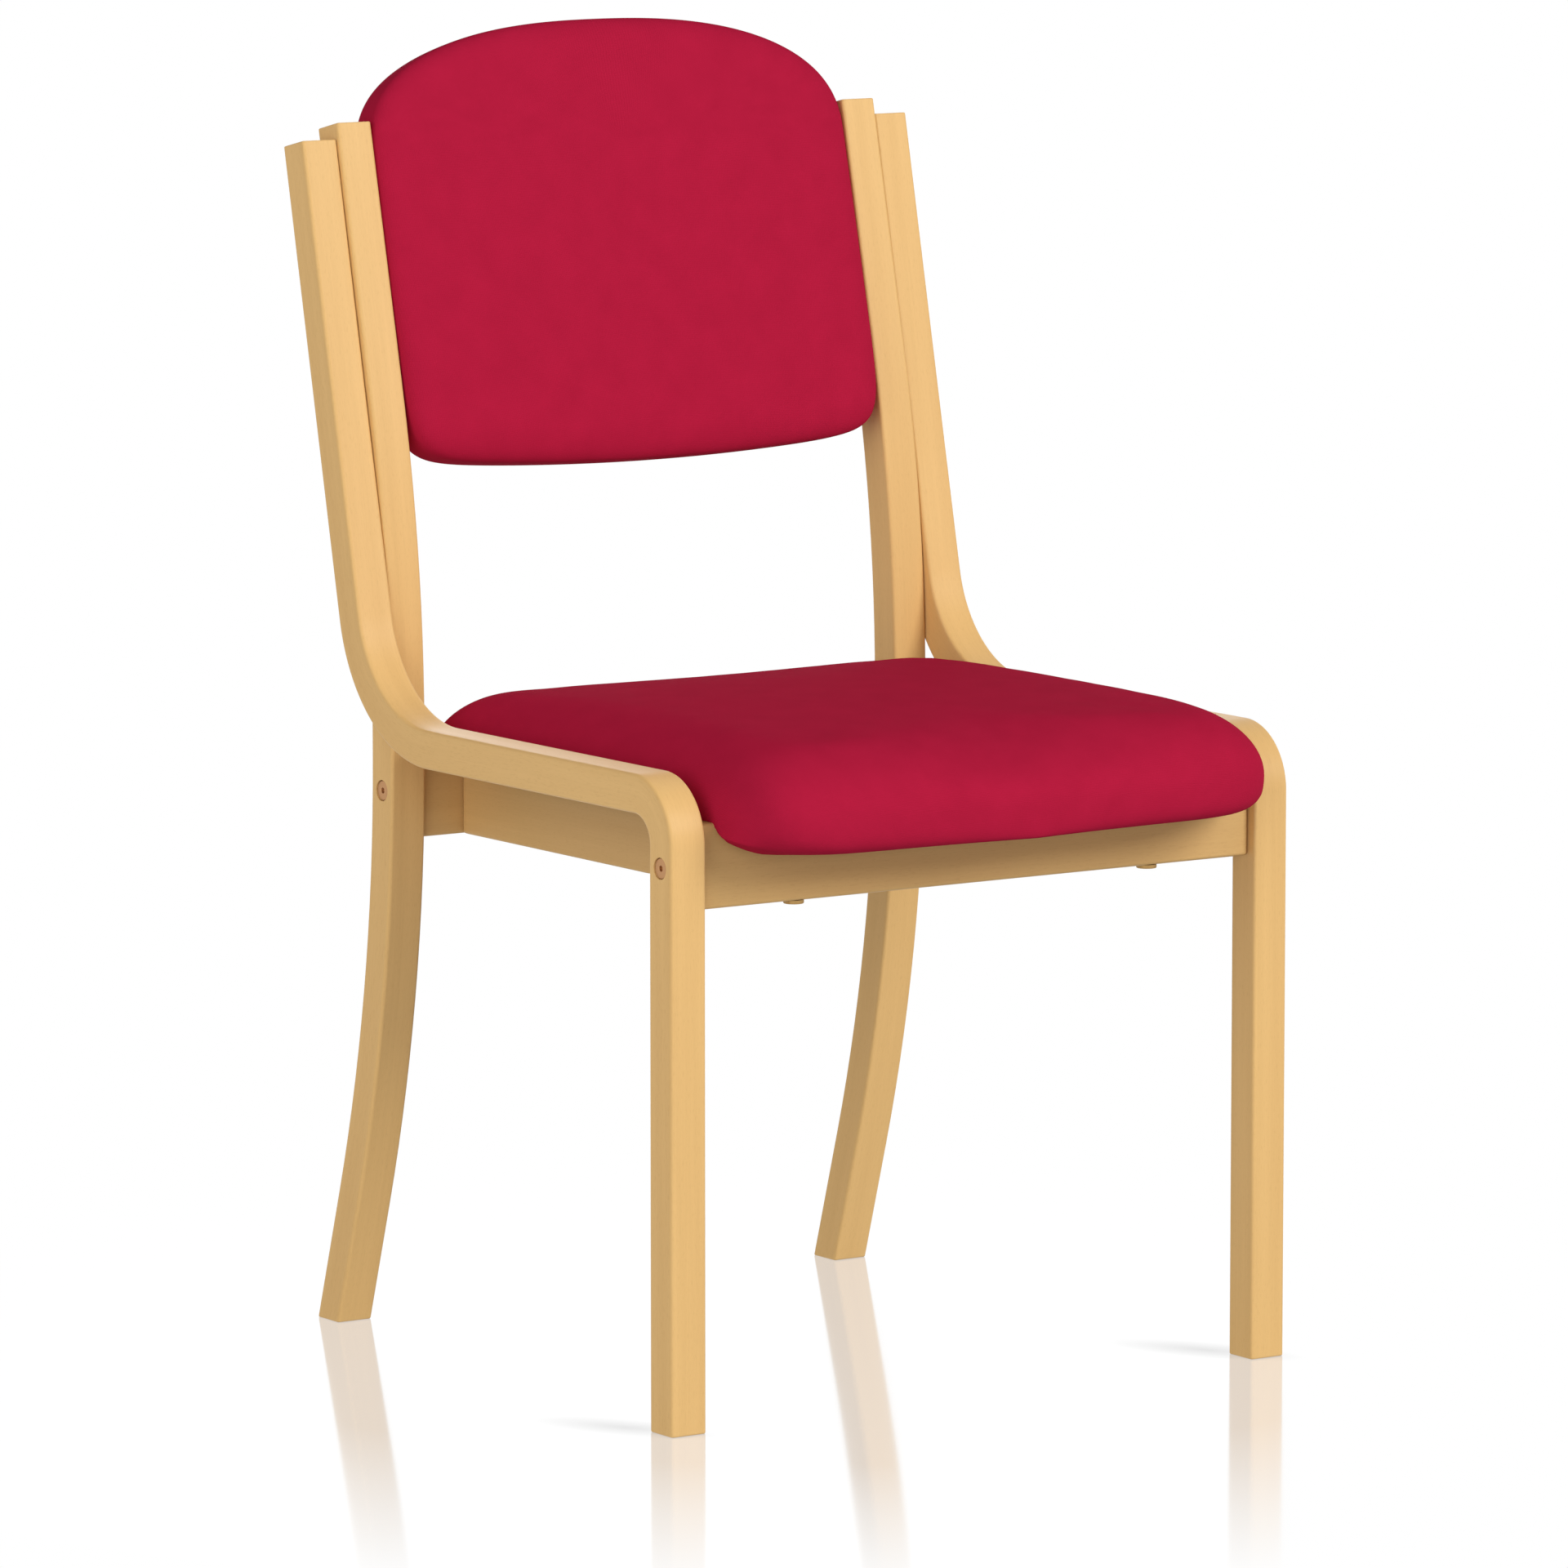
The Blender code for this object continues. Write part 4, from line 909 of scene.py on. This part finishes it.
# %% [markdown]
# The pad could be sculpted, but a formula keeps every measure in reach and gives both the mesh and the
# unrolled cloth. From the middle out, the angle spends its first share on the flat top, then on the
# rounded edge down to the rim, then on the tuck below it, and the rest runs in beneath.

# %% The seat's surface
def smooth_step(value, low, high):
    """From 0 at low to 1 at high, 3 t^2 - 2 t^3 between them."""
    share = np.clip((value - low) / (high - low), 0.0, 1.0)
    return share * share * (3 - 2 * share)


def seat_surface(direction, angle):
    """Pad over the outline |a|^m + |b|^m = 1. A crowned middle runs out to a quarter ellipse, widest
    straight ahead, which falls to the rim. Below the rim a squarer superellipse tucks the cloth
    under, most of all at the front corners, and the rest runs in beneath the pad."""
    a, b = direction[..., 0], direction[..., 1]
    half_width = (seat_high.x - seat_low.x) / 2
    half_depth = (seat_high.y - seat_low.y) / 2
    m = np.where(b < 0, SEAT_OUTLINE_FRONT, SEAT_OUTLINE_REAR)
    reach = np.maximum(np.abs(a) ** m + np.abs(b) ** m, 1e-30) ** (-1 / m)
    radius = np.maximum(np.hypot(a * reach * half_width, b * reach * half_depth), 1e-6)
    s = angle / (math.pi / 2)

    ahead = np.arcsin(np.clip(-b / np.maximum(np.hypot(a, b), 1e-6), 0.0, 1.0)) / (math.pi / 2)
    width = SEAT_ROUND + (SEAT_NOSE_ROUND - SEAT_ROUND) * np.maximum(0.0, ahead * (2 * ahead - 1))
    fall = np.clip((1 - s) / (1 - FLAT_SHARE), 0.0, 1.0) * math.pi / 2
    top_out = (1 - width * (1 - np.cos(fall)) / radius) * np.clip(s / FLAT_SHARE, 0.0, 1.0)

    nose_tuck = SEAT_TUCK_CORNER + (SEAT_TUCK_FRONT - SEAT_TUCK_CORNER) * ahead**2
    tuck = SEAT_TUCK_SIDE + (nose_tuck - SEAT_TUCK_SIDE) * smooth_step(-b * reach, NOSE_FROM, NOSE_FULL)
    turn = np.clip((s - 1) / TUCK_SHARE, 0.0, 1.0) * math.pi / 2
    inward = np.clip((s - 1 - TUCK_SHARE) / (1 - TUCK_SHARE), 0.0, 1.0)
    tucked = 1 - np.maximum(np.cos(turn), 0.0) ** (2 / SEAT_TUCK_POWER)
    under_out = (1 - tuck * tucked / radius) * (1 - inward)

    above = s <= 1
    out = np.where(above, top_out, under_out) * reach
    x, y = a * out, b * out
    swell = SEAT_SWELL * (1 - x**2) * (1 - y**2)
    top = SEAT_SHOULDER + SEAT_CROWN_ALONG * (1 - y**2) + SEAT_CROWN_ACROSS * (1 - x**2) - swell
    edge = SEAT_EDGE + SEAT_EDGE_RISE * np.abs(x) ** SEAT_RISE_POWER
    under = edge - SEAT_UNDER_SLOPE * np.minimum(radius * inward, SEAT_UNDER_RUN)
    drop = np.sin(turn) ** (2 / SEAT_TUCK_POWER) * (SEAT_WIDEST - under)
    z = SEAT_WIDEST + np.where(above, np.sin(fall) * (top - SEAT_WIDEST), -drop)
    return np.stack((x * half_width, (seat_high.y + seat_low.y) / 2 + y * half_depth, z), axis=-1)


seat_middle = seat_surface(np.zeros((1, 2)), np.zeros(1))[0]
print("middle of the seat at", round(float(seat_middle[2]), 4), "m before it is padded")

# %% [markdown]
# Behind the nose the cushion must not sink into the rails it rests on. Every point behind the front
# rail's face is lifted to the flat base, and inside the stapled edge a little higher, which leaves room
# for the dust cloth.

# %% Rest the seat on its rails
dust_low, dust_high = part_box("seat_dust_cover")
DUST_MARGIN = 0.0003
DUST_ROOM = 0.0018
DUST_EDGE = 0.004
window_low = np.round(np.array(dust_low.xy) - DUST_MARGIN, 4)
window_high = np.round(np.array(dust_high.xy) + DUST_MARGIN, 4)
LIFT_FROM = rail_low.y - 0.008
LIFT_FULL = rail_low.y - 0.002
FREE_BELOW = 0.05


def rest_on_rails(points):
    """Lift points that lie behind the front rail's face to the base, smoothly over six millimetres."""
    behind = smooth_step(points[:, 1], LIFT_FROM, LIFT_FULL)
    inside = np.minimum(points[:, :2] - window_low, window_high - points[:, :2]).min(axis=1)
    base = SEAT_BASE + DUST_ROOM * smooth_step(inside, 0.0, DUST_EDGE)
    free = SEAT_BASE - FREE_BELOW
    lifted = np.maximum(points[:, 2], free + (base - free) * behind)
    return np.column_stack((points[:, :2], lifted))


print("seat rests at", round(SEAT_BASE, 4), "m, and", DUST_ROOM, "m higher over the dust cloth")

# %% Make the seat cushion
PAD_ANGLES = np.linspace(0.0, math.pi / 2, 45)
direction, angle, faces = pad_grid(PAD_ANGLES)
points = rest_on_rails(seat_surface(direction, angle))
seat = make_mesh("seat_cushion", points, faces)
finish_pad(seat, unroll(seat_surface, direction, angle), angle > math.pi / 2, SEAT_SWELL)
hand_over(seat, "red_fabric", red_cloth, "seat_cover", "seat_foam")

# %% [markdown]
# ## The back
#
# The back pad hangs between the inner uprights and leans back with them. Its top is a wide arch, its
# bottom a shallow bow between tight corners, and its front edge is softly rounded. It is worked out
# flat, in (across, up the back, rearward), and then leaned.

# %% The back's outline
BACK_LEAN = INNER_LEAN + math.radians(1.22)
BACK_DROP = 0.2022
BACK_FOOT_Z = INNER_TOP - BACK_DROP
BACK_FOOT_Y = FRONT + inner_upright(BACK_FOOT_Z) - STICK_DEPTH / 2 / math.cos(INNER_LEAN)
BACK_HALF_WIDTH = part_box("back_cover")[1].x
BACK_WIDEST = 0.1881
BACK_ARCH = 0.0915
BACK_BELOW = 0.2365
BACK_BOW = 0.0102
BACK_TAPER = 0.0012
BACK_ARCH_POWER = 2.4
BACK_BOTTOM_POWER = 14.7


def lean(across, up, rearward):
    """From the pad's own plane to the chair: up and rearward turned by the lean."""
    y = BACK_FOOT_Y + up * math.sin(BACK_LEAN) + rearward * math.cos(BACK_LEAN)
    z = BACK_FOOT_Z + up * math.cos(BACK_LEAN) - rearward * math.sin(BACK_LEAN)
    return np.stack((across, y, z), axis=-1)


def back_outline(direction, out, inset=0.0):
    """Across and up at a share of the way out to |a|^m + |b|^m = 1, wider and taller above than below;
    below, the sides draw in a little and the corners lie higher than the middle."""
    a, b = direction[..., 0], direction[..., 1]
    m = np.where(b > 0, BACK_ARCH_POWER, BACK_BOTTOM_POWER)
    out = out * np.maximum(np.abs(a) ** m + np.abs(b) ** m, 1e-30) ** (-1 / m)
    a, b = a * out, b * out
    below = np.maximum(0.0, -b)
    across = a * (BACK_HALF_WIDTH - inset - BACK_TAPER * below**2)
    up = b * (np.where(b > 0, BACK_ARCH, BACK_BELOW) - inset) + BACK_BOW * a * a * below
    return across, BACK_WIDEST + up


print("back", round(BACK_ARCH + BACK_BELOW, 4), "m tall and", round(2 * BACK_HALF_WIDTH, 4), "m wide")

# %% [markdown]
# Across its thickness the back is made like the seat: a flat front, a rounded edge of one width all
# round, and behind the rim a short wall that curls in to the flat rear, where the board lies.

# %% The back's surface
BACK_RIM = 0.0013
BACK_FRONT_RISE = 0.0152
BACK_REAR = 0.0296
BACK_ROUND = 0.028
BACK_CURL = 0.007
BACK_CURL_POWER = 2.5
BACK_SWELL = 0.0025
CURL_SHARE = 0.2


def back_surface(direction, angle):
    """A flat front falls to the rim over a quarter ellipse of fixed width; behind the rim the wall
    curls in over a superellipse to the flat rear."""
    across, up = back_outline(direction, 1.0)
    radius = np.maximum(np.hypot(across, up - BACK_WIDEST), 1e-6)
    s = angle / (math.pi / 2)
    fall = np.clip((1 - s) / (1 - FLAT_SHARE), 0.0, 1.0) * math.pi / 2
    front_out = (1 - BACK_ROUND * (1 - np.cos(fall)) / radius) * np.clip(s / FLAT_SHARE, 0.0, 1.0)
    turn = np.clip((s - 1) / CURL_SHARE, 0.0, 1.0) * math.pi / 2
    inward = np.clip((s - 1 - CURL_SHARE) / (1 - CURL_SHARE), 0.0, 1.0)
    curl = 1 - np.maximum(np.cos(turn), 0.0) ** (2 / BACK_CURL_POWER)
    rear_out = (1 - BACK_CURL * curl / radius) * (1 - inward)
    across, up = back_outline(direction, np.where(s <= 1, front_out, rear_out))
    forward = np.sin(fall) * (BACK_FRONT_RISE - BACK_SWELL / 2)
    backward = np.sin(turn) ** (2 / BACK_CURL_POWER) * (BACK_REAR - BACK_RIM)
    return lean(across, up, BACK_RIM + np.where(s <= 1, -forward, backward))


print("back", round(BACK_FRONT_RISE + BACK_REAR - BACK_RIM, 4), "m thick")

# %% Make the back cushion, held at its rim and behind it
RIM_ANGLE = math.pi * 0.499
direction, angle, faces = pad_grid(PAD_ANGLES)
back = make_mesh("back_cushion", back_surface(direction, angle), faces)
finish_pad(back, unroll(back_surface, direction, angle), angle > RIM_ANGLE, BACK_SWELL)
hand_over(back, "red_fabric", red_cloth, "back_cover", "back_foam")

# %% [markdown]
# ## The rear panel
#
# The back of the back is closed by a thin board wrapped in the same cloth, drawn in from the outline.
# It is the same kind of pad grid, with so square an edge that it reads as a board, and its points are
# spaced evenly round that edge.

# %% Make the rear panel
PANEL_MARGIN = 0.010
PANEL_THICKNESS = 0.003
PANEL_GAP = 0.0003
PANEL_MIDDLE = BACK_REAR + PANEL_GAP + PANEL_THICKNESS / 2
PANEL_POWER = 24.0
EDGE_TO_WIDTH = 0.008


def panel_surface(direction, angle):
    """The back's outline, drawn in by a margin, times sin^(2/n); cos^(2/n) of half the thickness."""
    out = np.maximum(np.sin(angle), 0.0) ** (2 / PANEL_POWER)
    across, up = back_outline(direction, out, PANEL_MARGIN)
    depth = np.abs(np.cos(angle)) ** (2 / PANEL_POWER) * PANEL_THICKNESS / 2
    return lean(across, up, PANEL_MIDDLE + np.where(angle <= math.pi / 2, -depth, depth))


direction, angle, faces = pad_grid(rim_spacing(EDGE_TO_WIDTH, PANEL_POWER, 40))
panel = make_mesh("back_rear_cloth_panel", panel_surface(direction, angle), faces)
keep_vectors(panel, "cloth", unroll(panel_surface, direction, angle))
hand_over(panel, "red_fabric", red_cloth, "back_rear_panel")

# %% [markdown]
# ## The dust cloth
#
# Under the seat a thin black cloth covers the pan and keeps dust out. It is stapled round its edge and
# stretched nearly flat, so a simulation would show little. Instead the sheet sags by a fraction of a
# millimetre towards its middle, with shallow ripples where two waves cross, and Solidify gives it the
# thickness of its CAD solid.

# %% Make the dust cloth
DUST_POINTS = 61
DUST_SAG = 0.0006
RIPPLE = 0.00025
share = np.linspace(0.0, 1.0, DUST_POINTS)
u, v = np.meshgrid(share, share)
x = dust_low.x + u * (dust_high.x - dust_low.x)
y = dust_low.y + v * (dust_high.y - dust_low.y)
slack = np.sin(math.pi * u) * np.sin(math.pi * v)
ripple = np.sin(37.0 * x + 5.0 * np.sin(9.0 * y)) * np.sin(61.0 * y + 3.0) * RIPPLE
z = dust_low.z + (ripple - DUST_SAG) * slack
points = np.stack((x, y, z), axis=-1).reshape(-1, 3)
dust = make_mesh("dust_cloth", points, grid_faces(DUST_POINTS, DUST_POINTS)[:, ::-1])
keep_vectors(dust, "cloth", np.column_stack((points[:, :2], np.zeros(len(points)))))
thickness = dust.modifiers.new("thickness", "SOLIDIFY")
thickness.thickness = dust_high.z - dust_low.z
thickness.offset = -1.0
hand_over(dust, "black_cloth", dust_cloth, "seat_dust_cover")

# %% [markdown]
# ## What stays hidden
#
# Dowels, nuts, screws, the plywood pan and the back board keep their CAD solids. Little of them is
# ever seen, but a look through a hole or an exploded view should still find wood and metal.

# %% Dress the hidden nodes
plywood = mottled_finish("raw plywood", (0.70, 0.53, 0.33), 0.65, 0.0, 60.0, 0.25, 0.0002)
beech_raw = mottled_finish("raw beech dowel", (0.72, 0.48, 0.22), 0.6, 0.0, 200.0, 0.2, 0.0001)
hidden_finishes = {"dowel": beech_raw, "pan": plywood, "board": plywood, "nut": zinc, "screw": zinc}
for word, finish in hidden_finishes.items():
    hidden = [name for name in nodes if word in name.split("_")]
    for name in hidden:
        dress(name, finish)
    print(len(hidden), "hidden", word, "nodes in", finish.name)

# %% [markdown]
# ## The studio
#
# The picture has a pure white ground, a floor that mirrors the feet faintly, bright light from the
# front right, and a broad softer light from the left. The world shows white to the camera and to
# reflections; to surfaces it gives a low light that comes from the floor and the walls around, and
# fades towards the ceiling.
#
# The floor glows white, so that it melts into the ground, and a thin mirror layer is mixed over it.
# Two things that a glowing floor can't do by itself are drawn into its material. It takes no shadow,
# so a flat spherical gradient darkens it behind each front foot. And the picture's mirror image fades
# out around the chair, so the floor is polished under the chair and grows dull further out.
#
# The last two lights share one job. Light from behind brightens the rear faces and puts a sheen along
# the tops of the side rails, but a lamp that low would also shine in the floor and wash out the
# shadows there. So the low lamp is hidden from reflections, and a higher one serves reflections only.

# %% The floor
FLOOR_REACH = 9.0
floor_points = [(x * FLOOR_REACH, y * FLOOR_REACH, 0.0) for x, y in ((-1, -1), (1, -1), (1, 1), (-1, 1))]
floor_mesh = bpy.data.meshes.new("pale floor")
floor_mesh.from_pydata(floor_points, [], [(0, 1, 2, 3)])
floor = bpy.data.objects.new("pale floor", floor_mesh)
bpy.context.scene.collection.objects.link(floor)
floor.visible_diffuse = False
print("floor", 2 * FLOOR_REACH, "m wide")

# %% The floor's glow, shadows and polish
SHADOW_AWAY = Vector((-0.020, 0.035, 0.0))
SHADOW_SIZE = (0.078, 0.028, 1.0)
SHADOW_GLOW = 0.79
POLISHED_TO = 0.43
DULL_FROM = 0.84
POLISH = 1.36
WHITE = (1.0, 1.0, 1.0, 1.0)

pale = bpy.data.materials.new("pale floor")
pale.use_nodes = True
tree = pale.node_tree
tree.nodes.clear()
place = brick(tree, "TexCoord").outputs["Object"]
shade = 0.0
for name in ("side_frame_left", "side_frame_right"):
    low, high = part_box(name)
    foot = Vector(((low.x + high.x) / 2, low.y + STICK_DEPTH / 2, 0.0))
    spot = {
        "Vector": place,
        "Location": foot + SHADOW_AWAY,
        "Rotation": (0.0, 0.0, math.atan2(SHADOW_AWAY.y, SHADOW_AWAY.x)),
        "Scale": SHADOW_SIZE,
    }
    spot = brick(tree, "Mapping", spot, vector_type="TEXTURE").outputs[0]
    spot = brick(tree, "TexGradient", {0: spot}, gradient_type="SPHERICAL").outputs["Fac"]
    shade = calculate(tree, "ADD", spot, shade)
glow = remap(tree, shade, 0.0, 1.0, 1.0, SHADOW_GLOW)
white = brick(tree, "Emission", {"Color": WHITE, "Strength": glow})
mirror = brick(tree, "BsdfGlossy", {"Color": glow, "Roughness": 0.08})
gloss = brick(tree, "Fresnel", {"IOR": 1.6}).outputs[0]
distance = brick(tree, "VectorMath", {0: place}, operation="LENGTH").outputs["Value"]
gloss = calculate(tree, "MULTIPLY", gloss, remap(tree, distance, POLISHED_TO, DULL_FROM, POLISH, 0.0))
mixed = brick(tree, "MixShader", {0: gloss, 1: white.outputs[0], 2: mirror.outputs[0]})
brick(tree, "OutputMaterial", {"Surface": mixed.outputs[0]})
floor_mesh.materials.append(pale)
print("floor finish:", len(tree.nodes), "nodes")

# %% The world
LIGHT_FROM_WALLS = 0.48
LIGHT_FROM_CEILING = 0.08
world = bpy.data.worlds.new("white studio")
world.use_nodes = True
tree = world.node_tree
tree.nodes.clear()
ray_kind = brick(tree, "LightPath")
upward = brick(tree, "SeparateXYZ", {0: brick(tree, "TexCoord").outputs["Generated"]}).outputs["Z"]
dimming = remap(tree, upward, 0.0, 0.9, LIGHT_FROM_WALLS, LIGHT_FROM_CEILING)
sky = brick(tree, "Background", {"Color": WHITE, "Strength": 1.0})
room = brick(tree, "Background", {"Color": (1.0, 0.99, 0.97, 1.0), "Strength": dimming})
lighting = ray_kind.outputs["Is Diffuse Ray"]
seen = brick(tree, "MixShader", {0: lighting, 1: sky.outputs[0], 2: room.outputs[0]})
brick(tree, "OutputWorld", {"Surface": seen.outputs[0]})
bpy.context.scene.world = world
print("world:", world.name)


# %% The lights
def soft_light(name, place, aim, size, power):
    """Square area light that looks from its place at its aim."""
    light = bpy.data.lights.new(name, "AREA")
    light.size = size
    light.energy = power
    lamp = bpy.data.objects.new(name, light)
    turn = (Vector(aim) - Vector(place)).to_track_quat("-Z", "Y").to_matrix().to_4x4()
    lamp.matrix_world = Matrix.Translation(Vector(place)) @ turn
    bpy.context.scene.collection.objects.link(lamp)
    print(name, "of", power, "W")
    return lamp


CHAIR_MIDDLE = (0.0, 0.0, 0.5)
RAIL_TOP_MIDDLE = (-0.25, 0.0, 0.46)
soft_light("front right softbox", (2.6, -5.1, 3.55), CHAIR_MIDDLE, 2.9, 306.0)
soft_light("left softbox", (-4.3, -2.1, 1.7), CHAIR_MIDDLE, 4.6, 146.0)
rear = soft_light("rear softbox", (1.5, 3.6, 0.9), CHAIR_MIDDLE, 2.4, 28.0)
rear.visible_glossy = False
sheen = soft_light("sheen softbox", (1.99, 3.31, 1.75), RAIL_TOP_MIDDLE, 1.4, 12.0)
sheen.visible_diffuse = False
bpy.context.scene.view_settings.view_transform = "Standard"
bpy.context.scene.view_settings.look = "None"
